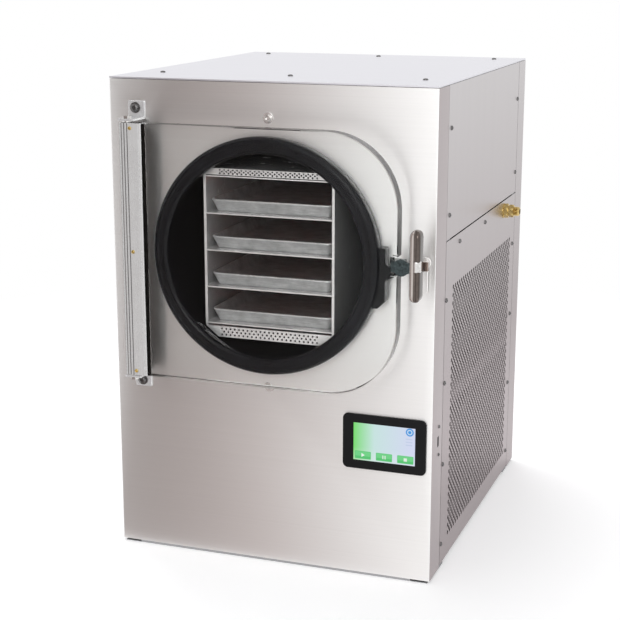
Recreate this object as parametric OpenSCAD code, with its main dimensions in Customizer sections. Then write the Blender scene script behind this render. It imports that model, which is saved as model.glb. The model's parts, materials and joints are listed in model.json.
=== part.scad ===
// Tabletop vacuum freeze dryer with a round chamber, a clear door and four trays.
// Modules are written in cabinet coordinates: x = 0 at mid-width, y = 0 on the outer
// face of the front panel and growing to the rear, z = 0 at the front panel's lower edge.
// in_cabinet() then sets the origin under the middle of the footprint, on the floor.

/* [Cabinet] */
// Width over the side panels
body_w = 500; // [490:1:520]
// Depth from front face to rear face
body_d = 576; // [570:1:600]
// Height of the front panel
body_h = 721; // [715:1:740]
// Gap between the outer panels and the floor
floor_gap = 4; // [3:0.5:8]
// Thickness of the folded sheet metal
sheet_t = 1.2; // [0.8:0.1:1.4]
// Depth of the front panel's side returns
front_return = 54; // [48:1:60]
// Depth of the rear panel's side returns
rear_return = 49; // [40:1:49]
// Height of the seam between upper and lower side panels
seam_z = 499.5; // [498:0.5:510]

/* [Chamber] */
// Inner radius of the chamber drum
drum_r = 152.4; // [152:0.1:153]
// Height of the chamber axis
axis_z = 473.5; // [472:0.5:475]
// Straight depth of the drum behind the front face
drum_depth = 480; // [476:1:490]
// Wall thickness of the drum
drum_wall = 3; // [2:0.5:3]
// Outer radius of the door gasket
gasket_r = 174; // [170:1:175]

/* [Door] */
// Thickness of the clear door plate
door_t = 20; // [16:1:20]
// Height of the door plate
door_h = 377; // [360:1:377]
// Right edge of the door plate
door_right = 205.7; // [200:0.1:208]
// Radius of the two right-hand corners of the door plate
door_corner_r = 108; // [60:1:120]
// Length of the latch handle
handle_l = 101; // [80:1:110]

/* [Rack] */
// Number of trays
tray_count = 4; // [3:1:4]
// Distance from one shelf to the next
shelf_pitch = 55; // [50:1:55]
// Width of a tray over its rim
tray_w = 187; // [180:1:188]
// Length of a tray over its rim
tray_l = 455; // [430:1:457]
// Height of a tray
tray_h = 19; // [15:1:24]

/* [Vents] */
// Spacing of the vent holes in one row
vent_pitch = 25; // [25:5:50]
// Diameter of a vent hole
vent_d = 12; // [8:1:14]

/* [Hidden] */

half_w = body_w/2;
side_in = half_w - sheet_t;           // inner face of the side panels
lid_t = 2*sheet_t;                    // the lid's edge is a closed hem
lid_top = body_h + 0.6 + lid_t;
rail_top = lid_top - lid_t;
post_y0 = front_return;
post_w = 25;
rail_w = 22;
angle_t = 2;
rear_post_y0 = body_d - rear_return - post_w;
deck_z = 262;
pan_floor = sheet_t - floor_gap;      // upper face of the base pan

drum_out = drum_r + drum_wall;
rim_y = -15;                          // front end of the drum's rim
gasket_y = -20.7;                     // front face of the gasket
bolt_ring_r = 198.5;                  // radius of the two flange bolts
bolt_hole_r = 3.2;
lug_r = 11;
flange_t = 3;
dome_r = 400;
foam_in = drum_out + 10.6;
foam_out = 203;
foam_end = drum_depth + 35;
foam_cap = 17;
tube_r = 4.76;                        // three-eighths inch copper tube
coil_r = drum_out + tube_r + 0.3;
coil_turns = 8;
coil_pitch = 45;
header_x = coil_r*sin(45);            // the two coil headers, below the axis
header_z = axis_z - header_x;
header_r = 4.2;

door_back = -21;
door_front = door_back - door_t;
door_mid_z = 473;
hinge_x = -206.5;
hinge_y = -31;
rail_left = -200;
rail_right = -180;
rail_wall = 2.2;
pin_r = 4;
running_gap = 0.05;
notch_depth = 9.7;
notch_h = 22;
latch_x = 236;
latch_z = 480;
shaft_r = 5;
handle_r = 8.5;
handle_y = -60;
hook_y = -8;
hook_t = 4.5;
hook_reach = 44;
snout_y = -17;
snout_t = 7.5;

shelf_z0 = 366;
shelf_t = 2;
mat_t = 2.5;
rack_half_w = 101;
rack_front = 5;
rack_back = 470;
rack_sheet = 1.5;
guard_half_w = 80;
guard_top_z = 602;
guard_bottom_z = 345;
shelf_count = tray_count + 1;
rack_low = shelf_z0 - shelf_t - mat_t;
rack_high = shelf_z0 + tray_count*shelf_pitch + rack_sheet;

screen_x = 178.3;
screen_z = 206;
screen_w = 93.5;
screen_h = 57;
cutout_w = 110;
cutout_h = 68;
vacuum_y = 437;
vacuum_z = 482;
usb_y = 32;
usb_z = 207;
drain_y = 337;
drain_z = 18;
inlet_x = 190;
inlet_z = 100;
outlet_x = 150;
outlet_z = 90;
fan_y = 280;
fan_z = 125;
fan_x = 166;
fan_r = 88;
condenser_x = 206;
liquid_z = 35;                        // lowest and highest tubes of the condenser
gas_z = 205;
compressor_x = -110;
compressor_y = 430;
post_screws_upper = [535.5, 660];
post_screws_lower = [35, 162, 287.5, 412];
seam_screws_y = [135, 300, 465];
lid_screws_x = [-206, 0, 205];
lid_screws_y = [91, 530];
bracket_bolt_z = [266, 680];

// ---------- helpers ----------

module in_cabinet() {
    translate([0, -body_d/2, floor_gap]) children();
}

module slab(low, high) {
    translate(low) cube(high - low);
}

// A plate drawn in the XZ plane, from y_back forwards by thickness t
module upright(y_back, t) {
    translate([0, y_back, 0]) rotate([90, 0, 0]) linear_extrude(height = t) children();
}

// Turned work about the chamber axis: profile is radius by depth
module about_axis() {
    translate([0, 0, axis_z]) rotate([-90, 0, 0]) rotate_extrude($fn = 180) children();
}

module rod(from, to, r) {
    step = to - from;
    length = norm(step);
    translate(from)
        rotate([0, acos(step[2]/length), atan2(step[1], step[0])])
            cylinder(r = r, h = length, $fn = 32);
}

// Straight tubes joined by brazed elbows
module pipe_run(points, r) {
    for (i = [0:len(points) - 2]) rod(points[i], points[i + 1], r);
    for (i = [1:len(points) - 2]) translate(points[i]) sphere(r = 1.3*r, $fn = 32);
}

module rounded_rect(w, h, r) {
    for (x = [-1, 1], y = [-1, 1])
        translate([x*(w/2 - r), y*(h/2 - r)]) circle(r = r, $fn = 40);
    square([w - 2*r, h], center = true);
    square([w, h - 2*r], center = true);
}

function arc(cx, cy, r, a0, a1, n = 10) =
    [for (i = [0:n]) [cx + r*cos(a0 + (a1 - a0)*i/n), cy + r*sin(a0 + (a1 - a0)*i/n)]];

// Points of a shallow dome from its rim to its pole
function dome(r, sphere_r, edge, n = 10) =
    [for (i = [0:n])
        let (x = r*(1 - i/n))
        [x, edge + sqrt(sphere_r*sphere_r - x*x) - sqrt(sphere_r*sphere_r - r*r)]];

// Carries a wall profile (x outwards, y up) round a rounded rectangle
module round_the_edge(w, d, r) {
    for (side = [0, 180]) rotate([0, 0, side]) {
        for (turn = [0, 90])
            translate(turn == 0 ? [w/2 - r, d/2 - r, 0] : [-(w/2 - r), d/2 - r, 0])
                rotate([0, 0, turn])
                    rotate_extrude(angle = 90, $fn = 40) translate([r, 0]) children();
        translate([w/2, d/2 - r, 0]) rotate([90, 0, 0])
            linear_extrude(height = d - 2*r) children();
        translate([w/2 - r, -d/2, 0]) rotate([90, 0, -90])
            linear_extrude(height = w - 2*r) children();
    }
}

// ---------- casing ----------

module return_profile(depth) {
    difference() {
        translate([-half_w, 0]) square([body_w, depth]);
        translate([-side_in, sheet_t]) square([2*side_in, depth]);
    }
    for (s = [-1, 1])
        translate([s*(side_in - 6), depth - sheet_t/2])
            square([12, sheet_t], center = true);
}

module front_panel() {
    color([0.83, 0.82, 0.81]) in_cabinet() difference() {
        union() {
            linear_extrude(height = body_h) difference() {
                return_profile(front_return);
                for (s = [-1, 1]) difference() {
                    translate([s*half_w, 0]) square([3, 3], center = true);
                    translate([s*(half_w - 1.5), 1.5]) circle(r = 1.5, $fn = 32);
                }
            }
            slab([-side_in, sheet_t, body_h - sheet_t], [side_in, 16, body_h]);
        }
        translate([0, -1, axis_z]) rotate([-90, 0, 0])
            cylinder(r = drum_out + 0.4, h = 10, $fn = 180);
        for (s = [-1, 1])
            translate([0, -1, axis_z + s*bolt_ring_r]) rotate([-90, 0, 0])
                cylinder(r = 3.2, h = 10, $fn = 32);
        for (z = bracket_bolt_z)
            translate([hinge_x - 2.5, -1, z]) rotate([-90, 0, 0])
                cylinder(r = 4.2, h = 10, $fn = 32);
        translate([screen_x, 3, screen_z]) cube([cutout_w, 8, cutout_h], center = true);
        translate([half_w, usb_y, usb_z]) cube([8, 7, 16], center = true);
    }
}

module top_panel() {
    color([0.89, 0.89, 0.92]) in_cabinet() {
        slab([-half_w, 0, lid_top - sheet_t], [half_w, body_d, lid_top]);
        difference() {
            slab([-half_w, 0, rail_top], [half_w, body_d, rail_top + sheet_t]);
            slab([12 - half_w, 12, rail_top - 1], [half_w - 12, body_d - 12, rail_top + 3]);
        }
    }
}

module rear_panel() {
    color([0.74, 0.74, 0.75]) in_cabinet() difference() {
        union() {
            translate([0, body_d, 0]) rotate([0, 0, 180])
                linear_extrude(height = body_h) return_profile(rear_return);
            slab([-side_in, body_d - 16, body_h - sheet_t],
                 [side_in, body_d - sheet_t, body_h]);
        }
        translate([inlet_x, body_d, inlet_z]) cube([28, 10, 48], center = true);
        translate([outlet_x, body_d, outlet_z]) cube([28, 10, 22], center = true);
        for (i = [-5:5], j = [0:5])
            translate([i*24, body_d, 560 + j*22]) rotate([90, 0, 0])
                linear_extrude(height = 10, center = true) rounded_rect(16, 5, 2.4);
    }
}

module upper_side(side) {
    color([0.80, 0.81, 0.81]) in_cabinet()
        slab([side > 0 ? side_in : -half_w, front_return + 1.5, seam_z + 1],
             [side > 0 ? half_w : -side_in, body_d - rear_return - 1.5, body_h]);
}

module vent_field() {
    y0 = 96 + vent_d/2;
    z0 = 32 + vent_d/2;
    columns = floor((400 - vent_d)/vent_pitch);
    rows = floor((398 - vent_d)/vent_pitch);
    for (i = [0:columns], j = [0:rows])
        translate([y0 + i*vent_pitch, z0 + j*vent_pitch]) circle(d = vent_d, $fn = 16);
    for (i = [0:columns - 1], j = [0:rows - 1])
        translate([y0 + (i + 0.5)*vent_pitch, z0 + (j + 0.5)*vent_pitch])
            circle(d = vent_d, $fn = 16);
}

// Perforated sheet, drawn as depth by height, with one pipe hole
module lower_side(side, pipe_y, pipe_z, pipe_r) {
    color([0.76, 0.73, 0.73]) in_cabinet()
        translate([side > 0 ? side_in : -half_w, 0, 0]) rotate([90, 0, 90])
            linear_extrude(height = sheet_t) difference() {
                translate([front_return + 1.5, 3])
                    square([body_d - rear_return - front_return - 3, seam_z - 4]);
                vent_field();
                translate([pipe_y, pipe_z]) circle(r = pipe_r, $fn = 48);
            }
}

module right_upper_panel() { upper_side(1); }
module left_upper_panel() { upper_side(-1); }
module right_lower_panel() { lower_side(1, vacuum_y, vacuum_z, 8.2); }
module left_lower_panel() { lower_side(-1, drain_y, drain_z, 7.2); }

module base_pan() {
    color([0.35, 0.35, 0.36]) in_cabinet() {
        slab([-246, sheet_t, -floor_gap], [246, body_d - sheet_t, pan_floor]);
        for (y = [sheet_t, body_d - 2*sheet_t])
            slab([-220, y, -floor_gap], [220, y + sheet_t, 8]);
        for (x = [-246, 246 - sheet_t])
            slab([x, 90, -floor_gap], [x + sheet_t, 490, 8]);
    }
}

module side_rail(z_top) {
    y1 = rear_post_y0 + post_w;
    slab([side_in - angle_t, post_y0, z_top - rail_w], [side_in, y1, z_top]);
    slab([side_in - rail_w, post_y0, z_top - angle_t], [side_in, y1, z_top]);
}

// Angle post; the leg across the cabinet lies at y_leg
module post(y0, y_leg) {
    slab([side_in - angle_t, y0, pan_floor], [side_in, y0 + post_w, rail_top]);
    slab([side_in - post_w, y_leg, pan_floor], [side_in, y_leg + angle_t, rail_top]);
}

module chassis_frame() {
    color([0.30, 0.31, 0.32]) in_cabinet() difference() {
        for (side = [0, 1]) mirror([side, 0, 0]) {
            post(post_y0, post_y0);
            post(rear_post_y0, rear_post_y0 + post_w - angle_t);
            for (z = [deck_z, seam_z - 1, rail_top]) side_rail(z);
            for (y = lid_screws_y)
                slab([-1, y - 12, rail_top - angle_t], [side_in - 13, y + 12, rail_top]);
        }
        translate([side_in - 10, vacuum_y, vacuum_z]) rotate([0, 90, 0])
            cylinder(r = 9, h = 20, $fn = 48);
    }
}

// Shelf sheet with two welded saddles under the chamber
module machine_deck() {
    color([0.55, 0.56, 0.57]) in_cabinet() {
        difference() {
            slab([-246, post_y0 + post_w + 2, deck_z], [246, rear_post_y0 - 2, deck_z + sheet_t]);
            translate([0, drain_y, deck_z - 5]) cylinder(r = 9, h = 10, $fn = 40);
        }
        for (y = [120, 400]) difference() {
            slab([-150, y, deck_z + sheet_t], [150, y + 3, deck_z + 72]);
            translate([0, y - 5, axis_z]) rotate([-90, 0, 0])
                cylinder(r = foam_out, h = 15, $fn = 180);
        }
    }
}

module pan_head(r, h) {
    cylinder(r = r, h = 0.6*h, $fn = 32);
    translate([0, 0, 0.6*h]) cylinder(r1 = r, r2 = 0.7*r, h = 0.4*h, $fn = 32);
}

module panel_screws() {
    color([0.30, 0.30, 0.31]) in_cabinet() {
        for (side = [0, 1]) mirror([side, 0, 0]) translate([half_w, 0, 0]) {
            for (z = post_screws_upper, y = [70, 518])
                translate([0, y, z]) rotate([0, 90, 0]) pan_head(3.5, 2);
            for (z = post_screws_lower, y = [62, 513])
                translate([0, y, z]) rotate([0, 90, 0]) pan_head(3.5, 2);
            for (y = seam_screws_y)
                translate([0, y, 486]) rotate([0, 90, 0]) pan_head(3.5, 2);
        }
        for (dz = [-21, 22])
            translate([half_w, usb_y + 4, usb_z + dz]) rotate([0, 90, 0]) pan_head(2.6, 1.6);
        for (x = lid_screws_x, y = lid_screws_y)
            translate([x, y, lid_top]) pan_head(4, 2.2);
        for (x = [-230, 230], z = [40, 360, 690])
            translate([x, body_d, z]) rotate([-90, 0, 0]) pan_head(3.5, 2);
    }
}

// ---------- chamber ----------

// Drum: straight wall, shallow domed rear end, welded front flange with two bolt lugs
module chamber_drum() {
    inner = dome(drum_r, dome_r - drum_wall, drum_depth);
    color([0.12, 0.12, 0.13]) in_cabinet() difference() {
        union() {
            about_axis() polygon(concat(
                [[drum_r, rim_y], [drum_out, rim_y]],
                dome(drum_out, dome_r, drum_depth),
                [for (i = [len(inner) - 1:-1:0]) inner[i]]));
            about_axis() translate([drum_out - 0.5, sheet_t]) square([17, flange_t]);
            for (s = [-1, 1]) upright(sheet_t + flange_t, flange_t)
                translate([0, axis_z + s*(bolt_ring_r - 15)])
                    rounded_rect(2*lug_r, 2*lug_r + 30, lug_r - 0.5);
        }
        for (s = [-1, 1]) translate([0, -1, axis_z + s*bolt_ring_r]) rotate([-90, 0, 0])
            cylinder(r = bolt_hole_r, h = 10, $fn = 32);
        translate([drum_r - 20, vacuum_y, vacuum_z]) rotate([0, 90, 0])
            cylinder(r = 6, h = 40, $fn = 40);
        translate([0, drain_y, axis_z - drum_r - 20]) cylinder(r = 4.5, h = 40, $fn = 40);
    }
}

// Moulded rubber U section pressed over the drum's rim
module door_gasket() {
    nose = 9;
    lip = 6.6;
    color([0.05, 0.05, 0.055]) in_cabinet() about_axis() polygon(concat(
        [[drum_out + 0.2, 0], [gasket_r - 3, 0], [gasket_r, -3]],
        arc(gasket_r - nose, gasket_y + nose, nose, 0, -90),
        arc(drum_r + 3.6, gasket_y + lip, lip, -90, -180),
        [[drum_r - 3, -4], [drum_r - 0.2, -4], [drum_r - 0.2, rim_y - 0.3],
         [drum_out + 0.2, rim_y - 0.3]]));
}

module flange_bolts() {
    color([0.78, 0.77, 0.76]) in_cabinet() for (s = [-1, 1])
        translate([0, 0, axis_z + s*bolt_ring_r]) rotate([90, 0, 0]) {
            cylinder(r = 8, h = 1.2, $fn = 48);
            difference() {
                translate([0, 0, 1.2]) cylinder(r = 5, h = 3.5, $fn = 40);
                translate([0, 0, 2.7]) cylinder(r = 2.6, h = 3, $fn = 6);
            }
            translate([0, 0, -9]) cylinder(r = bolt_hole_r - 0.2, h = 9.5, $fn = 32);
        }
}

// Refrigerant coil: turns round the drum, joined by a supply and a suction header
module evaporator_coil() {
    color([0.72, 0.45, 0.28]) in_cabinet() {
        for (i = [0:coil_turns - 1]) about_axis()
            translate([coil_r, 90 + i*coil_pitch]) circle(r = tube_r, $fn = 24);
        for (s = [-1, 1])
            rod([s*header_x, 84, header_z], [s*header_x, foam_end - 8, header_z], header_r);
    }
}

module chamber_insulation() {
    color([0.16, 0.16, 0.17]) in_cabinet() difference() {
        about_axis() polygon([
            [foam_in, sheet_t + flange_t + 20], [foam_out, sheet_t + flange_t + 20],
            [foam_out, foam_end + foam_cap], [0, foam_end + foam_cap], [0, foam_end],
            [foam_in, foam_end]]);
        translate([drum_r, vacuum_y, vacuum_z]) rotate([0, 90, 0])
            cylinder(r = 8.2, h = 80, $fn = 40);
        translate([0, drain_y, axis_z - foam_out - 5]) cylinder(r = 7.2, h = 60, $fn = 40);
        for (s = [-1, 1]) translate([s*header_x, foam_end - 5, header_z]) rotate([-90, 0, 0])
            cylinder(r = 7.2, h = 40, $fn = 40);
    }
}

// Catch on the panel beside the gasket; the hook turns in behind its snout
module keeper_block() {
    color([0.07, 0.07, 0.08]) in_cabinet() {
        upright(0, 18) difference() {
            polygon([[150, 500], [183, 500], [183, 424], [172, 413], [150, 413]]);
            translate([0, axis_z]) circle(r = gasket_r + 0.6, $fn = 180);
        }
        upright(snout_y + snout_t, snout_t)
            polygon([[176, latch_z + 12], [186, latch_z + 9], [200, latch_z + 5],
                     [200, latch_z - 5], [186, latch_z - 9], [176, latch_z - 12]]);
    }
}

// ---------- rack and trays ----------

// Side plate with a folded front edge
module rack_side(side) {
    color([0.84, 0.84, 0.85]) in_cabinet() mirror([side > 0 ? 0 : 1, 0, 0]) {
        slab([rack_half_w - rack_sheet, rack_front, rack_low],
             [rack_half_w, rack_back, rack_high]);
        slab([rack_half_w - 4, rack_front, rack_low],
             [rack_half_w, rack_front + rack_sheet, rack_high]);
    }
}

module rack_left_side() { rack_side(-1); }
module rack_right_side() { rack_side(1); }

// Folded channel that follows the drum, closed in front by a perforated face
module rack_guard(z_wide, z_narrow) {
    rise = z_narrow - z_wide;
    inset = 1.4;
    color([0.86, 0.86, 0.87]) in_cabinet() {
        upright(rack_back, rack_back - rack_front) polygon([
            [-rack_half_w, z_wide], [-guard_half_w, z_narrow], [guard_half_w, z_narrow],
            [rack_half_w, z_wide], [rack_half_w - 2.5, z_wide],
            [guard_half_w - 0.7, z_narrow - sign(rise)*inset],
            [0.7 - guard_half_w, z_narrow - sign(rise)*inset],
            [2.5 - rack_half_w, z_wide]]);
        upright(rack_front + inset, inset) difference() {
            polygon([[-rack_half_w, z_wide], [-guard_half_w, z_narrow],
                     [guard_half_w, z_narrow], [rack_half_w, z_wide]]);
            for (i = [-8:8], row = [0, 1])
                translate([(i + row/2)*9.5, z_wide + rise*(0.32 + 0.36*row)])
                    circle(r = 2.1, $fn = 16);
        }
    }
}

module rack_top_guard() { rack_guard(rack_high, guard_top_z); }
module rack_bottom_guard() { rack_guard(rack_low, guard_bottom_z); }

module rack_shelves() {
    inner = rack_half_w - rack_sheet;
    color([0.80, 0.80, 0.81]) in_cabinet() for (i = [0:shelf_count - 1])
        translate([0, 0, shelf_z0 + i*shelf_pitch])
            slab([-inner, rack_front + rack_sheet, -shelf_t], [inner, rack_back, 0]);
}

// Silicone heater pads bonded under the shelves
module heater_mats() {
    color([0.80, 0.28, 0.16]) in_cabinet() for (i = [0:shelf_count - 1])
        translate([0, 0, shelf_z0 + i*shelf_pitch - shelf_t])
            slab([-94, 8, -mat_t], [94, rack_back - 12, 0]);
}

// Pressed tray: sloping wall with a rolled rim, and a flat floor
module tray(level) {
    wall = 0.9;
    slope = 4;
    rim_r = 1.6;
    corner = 22;
    w = tray_w - 2*rim_r;
    l = tray_l - 2*rim_r;
    color([0.60, 0.60, 0.61]) in_cabinet()
        translate([0, rack_front + 9 + tray_l/2, shelf_z0 + level*shelf_pitch]) {
            round_the_edge(w, l, corner) {
                polygon([[-slope - 1, 0], [-slope, 0], [0, tray_h - rim_r],
                         [-wall, tray_h - rim_r], [-slope - 1, wall]]);
                translate([0, tray_h - rim_r]) circle(r = rim_r, $fn = 24);
            }
            linear_extrude(height = wall)
                rounded_rect(w - 2*slope - 2, l - 2*slope - 2, corner - slope - 1);
        }
}

module tray_1() { tray(0); }
module tray_2() { tray(1); }
module tray_3() { tray(2); }
module tray_4() { tray(3); }

// ---------- refrigeration ----------

module compressor() {
    body_r = 84;
    color([0.08, 0.08, 0.09]) in_cabinet() translate([compressor_x, compressor_y, 0]) {
        rotate_extrude($fn = 96) polygon(concat(
            [[0, 16], [body_r - 26, 16]],
            arc(body_r - 22, 42, 22, -80, 0, 6),
            [[body_r, 96], [body_r + 3, 98], [body_r + 3, 104], [body_r, 106]],
            arc(body_r - 40, 160, 40, 0, 80, 8),
            [[0, 203]]));
        difference() {
            slab([-82, -82, 12], [82, 82, 17]);
            for (x = [-1, 1], y = [-1, 1])
                translate([x*70, y*70, 5]) cylinder(r = 6.1, h = 20, $fn = 32);
        }
        slab([-30, -100, 80], [30, -78, 130]);
    }
}

module compressor_grommets() {
    color([0.10, 0.10, 0.10]) in_cabinet() translate([compressor_x, compressor_y, 0])
        for (x = [-1, 1], y = [-1, 1]) translate([x*70, y*70, pan_floor]) {
            cylinder(r = 11, h = 12 - pan_floor, $fn = 40);
            cylinder(r = 6, h = 22 - pan_floor, $fn = 40);
        }
}

// Fin pack on serpentine tubes
module condenser() {
    x0 = condenser_x - 16;
    x1 = condenser_x + 16;
    y0 = 130;
    y1 = 430;
    fins = 24;
    tubes = 6;
    pitch = 34;
    color([0.62, 0.60, 0.58]) in_cabinet() {
        for (i = [0:fins]) slab([x0, y0 + i*(y1 - y0)/fins - 0.4, 22],
                                [x1, y0 + i*(y1 - y0)/fins + 0.4, 228]);
        for (k = [0:tubes - 1])
            rod([condenser_x, y0 - 12, liquid_z + k*pitch],
                [condenser_x, y1 + 12, liquid_z + k*pitch], tube_r);
        for (k = [0:tubes - 2])
            translate([condenser_x, k % 2 == 0 ? y0 - 12 : y1 + 12, liquid_z + (k + 0.5)*pitch])
                rotate([0, 90, 0]) rotate([0, 0, k % 2 == 0 ? 180 : 0])
                    rotate_extrude(angle = 180, $fn = 48) translate([pitch/2, 0])
                        circle(r = tube_r, $fn = 24);
        for (y = [y0 - 4, y1 + 2.5]) slab([x0 - 6, y, pan_floor], [x1, y + 1.5, 232]);
    }
}

// Pressed plate with a bell-mouth ring
module fan_shroud() {
    color([0.13, 0.13, 0.14]) in_cabinet() translate([0, fan_y, fan_z]) {
        rotate([90, 0, 90]) translate([0, 0, 182]) linear_extrude(height = 2) difference() {
            rounded_rect(300, 208, 8);
            circle(r = fan_r + 5, $fn = 96);
        }
        translate([158, 0, 0]) rotate([0, 90, 0]) rotate_extrude($fn = 96)
            polygon(concat([[fan_r + 4, 26], [fan_r + 4, 6]],
                           arc(fan_r + 10, 6, 6, 180, 270, 5),
                           arc(fan_r + 10, 6, 4.8, 270, 180, 5),
                           [[fan_r + 5.2, 26]]));
        for (s = [-1, 1]) slab([182, s*130 - 12, pan_floor - fan_z], [184, s*130 + 12, -100]);
    }
}

module fan_motor() {
    color([0.22, 0.22, 0.23]) in_cabinet() translate([0, fan_y, fan_z]) {
        translate([104, 0, 0]) rotate([0, 90, 0]) {
            cylinder(r = 34, h = 30, $fn = 64);
            translate([0, 0, 30]) cylinder(r1 = 34, r2 = 26, h = 8, $fn = 64);
            translate([0, 0, 38]) cylinder(r = 4, h = 28, $fn = 32);
        }
        slab([112, -16, pan_floor - fan_z], [128, 16, -33]);
        slab([100, -40, pan_floor - fan_z], [140, 40, pan_floor - fan_z + 3]);
    }
}

module fan_blade() {
    color([0.70, 0.70, 0.70]) in_cabinet() translate([fan_x, fan_y, fan_z])
        rotate([0, 90, 0]) difference() {
            union() {
                translate([0, 0, -9]) cylinder(r = 21, h = 18, $fn = 64);
                for (i = [0:4]) rotate([0, 0, i*72]) intersection() {
                    rotate([28, 0, 0]) slab([14, -30, -0.8], [fan_r + 5, 30, 0.8]);
                    translate([0, 0, -15]) cylinder(r = fan_r, h = 30, $fn = 96);
                }
            }
            translate([0, 0, -10]) cylinder(r = 4 + running_gap, h = 30, $fn = 32);
        }
}

module filter_drier() {
    color([0.75, 0.52, 0.34]) in_cabinet() translate([60, 500, liquid_z]) rotate([0, 90, 0])
        rotate_extrude($fn = 48) polygon([
            [0, -8], [3.6, -8], [3.6, 0], [13, 8], [15, 12], [15, 48], [13, 52], [3.6, 60],
            [3.6, 68], [0, 68]]);
}

module refrigerant_lines() {
    suction_y = foam_end + foam_cap + 13;
    liquid_y = suction_y + 15;
    compressor_side = compressor_x + 84;
    color([0.72, 0.45, 0.28]) in_cabinet() {
        pipe_run([[compressor_side + 0.5, 430, 150], [20, 430, 150], [20, 480, 150],
                  [condenser_x, 480, 150], [condenser_x, 480, gas_z],
                  [condenser_x, 442.5, gas_z]], tube_r);
        pipe_run([[header_x, foam_end - 7.5, header_z], [header_x, suction_y, header_z],
                  [header_x, suction_y, 100], [compressor_x, suction_y, 100],
                  [compressor_x, compressor_y + 88, 100]], tube_r);
        pipe_run([[condenser_x, 442.5, liquid_z], [condenser_x, 500, liquid_z],
                  [128.5, 500, liquid_z]], 3.2);
        pipe_run([[51.5, 500, liquid_z], [30, 500, liquid_z], [30, liquid_y, liquid_z],
                  [-header_x, liquid_y, liquid_z], [-header_x, liquid_y, header_z],
                  [-header_x, foam_end - 7.5, header_z]], 3.2);
    }
}

// ---------- vacuum and drain ----------

// Brass bulkhead fitting with a flare end, its axis across the cabinet
module vacuum_fitting() {
    color([0.72, 0.58, 0.30]) in_cabinet() translate([half_w, vacuum_y, vacuum_z])
        rotate([0, 90, 0]) difference() {
            union() {
                translate([0, 0, -10]) cylinder(r = 8, h = 11, $fn = 48);
                cylinder(r = 12.2, h = 1.6, $fn = 64);
                translate([0, 0, 1.5]) cylinder(r = 12, h = 7, $fn = 6);
                translate([0, 0, 8]) cylinder(r = 8.5, h = 1.6, $fn = 48);
                translate([0, 0, 9.5]) cylinder(r = 10.6, h = 8, $fn = 6);
                translate([0, 0, 17]) cylinder(r = 7.94, h = 8, $fn = 48);
                translate([0, 0, 25]) cylinder(r1 = 7.94, r2 = 6.2, h = 2, $fn = 48);
            }
            translate([0, 0, -11]) cylinder(r = 4.8, h = 40, $fn = 48);
        }
}

module vacuum_pipe() {
    color([0.72, 0.45, 0.28]) in_cabinet()
        translate([drum_out + 1, vacuum_y, vacuum_z]) rotate([0, 90, 0]) difference() {
            cylinder(r = 8, h = half_w - 11 - drum_out, $fn = 48);
            translate([0, 0, -1]) cylinder(r = 6, h = 120, $fn = 48);
        }
}

module drain_hose() {
    side_x = -225;
    color([0.85, 0.86, 0.86]) in_cabinet() {
        pipe_run([[0, drain_y, axis_z - drum_out - 1.2], [0, drain_y, 238],
                  [side_x + 8, drain_y, 238], [side_x + 8, drain_y, drain_z + 20],
                  [side_x + 8, drain_y, drain_z]], 5);
        rod([side_x + 8, drain_y, drain_z], [side_x - 13, drain_y, drain_z], 5);
    }
}

// Ball valve with a hose barb, screwed to the left side
module drain_valve() {
    color([0.74, 0.62, 0.36]) in_cabinet() translate([-half_w, drain_y, drain_z])
        rotate([0, -90, 0]) {
            difference() {
                union() {
                    translate([0, 0, -11.5]) cylinder(r = 7, h = 14, $fn = 48);
                    cylinder(r = 11.5, h = 6, $fn = 6);
                    translate([0, 0, 6]) cylinder(r = 9.5, h = 18, $fn = 48);
                    translate([0, 0, 24]) cylinder(r = 10.5, h = 5, $fn = 6);
                    rotate_extrude($fn = 48) polygon([
                        [0, 29], [5, 29], [5, 31], [6, 31], [5, 35], [6, 35], [5, 39],
                        [6, 39], [4.6, 44], [0, 44]]);
                }
                translate([0, 0, 10]) cylinder(r = 3, h = 40, $fn = 32);
            }
            translate([0, 0, 15]) rotate([0, 90, 0]) cylinder(r = 4.5, h = 13, $fn = 40);
        }
}

module drain_lever() {
    stem_x = -half_w - 15;
    stem_top = drain_z + 13.2;
    color([0.70, 0.12, 0.10]) in_cabinet() translate([stem_x, drain_y, stem_top]) {
        cylinder(r = 6.5, h = 4, $fn = 40);
        linear_extrude(height = 2.5) {
            translate([-5, 0]) square([10, 42]);
            translate([0, 42]) circle(r = 5, $fn = 40);
        }
    }
}

// ---------- electrics ----------

module control_board() {
    z0 = pan_floor + 20;
    color([0.10, 0.36, 0.22]) in_cabinet() {
        difference() {
            slab([-215, 90, z0], [-50, 250, z0 + 1.6]);
            for (x = [-208, -57], y = [97, 243])
                translate([x, y, z0 - 1]) cylinder(r = 1.7, h = 4, $fn = 24);
        }
        for (i = [0:3]) slab([-200 + i*24, 110, z0 + 1.6], [-182 + i*24, 132, z0 + 18]);
        for (i = [0:6]) slab([-196, 170 + i*8, z0 + 1.6], [-150, 173 + i*8, z0 + 32]);
        for (i = [0:2]) translate([-120 + i*26, 200, z0 + 1.6])
            cylinder(r = 10, h = 34, $fn = 40);
    }
}

module board_standoffs() {
    z0 = pan_floor + 20;
    color([0.80, 0.70, 0.42]) in_cabinet() for (x = [-208, -57], y = [97, 243])
        translate([x, y, pan_floor]) {
            cylinder(r = 3.2, h = 20, $fn = 6);
            cylinder(r = 1.6, h = 24, $fn = 24);
            translate([0, 0, 21.6]) cylinder(r = 3, h = 2, $fn = 32);
        }
}

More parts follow.
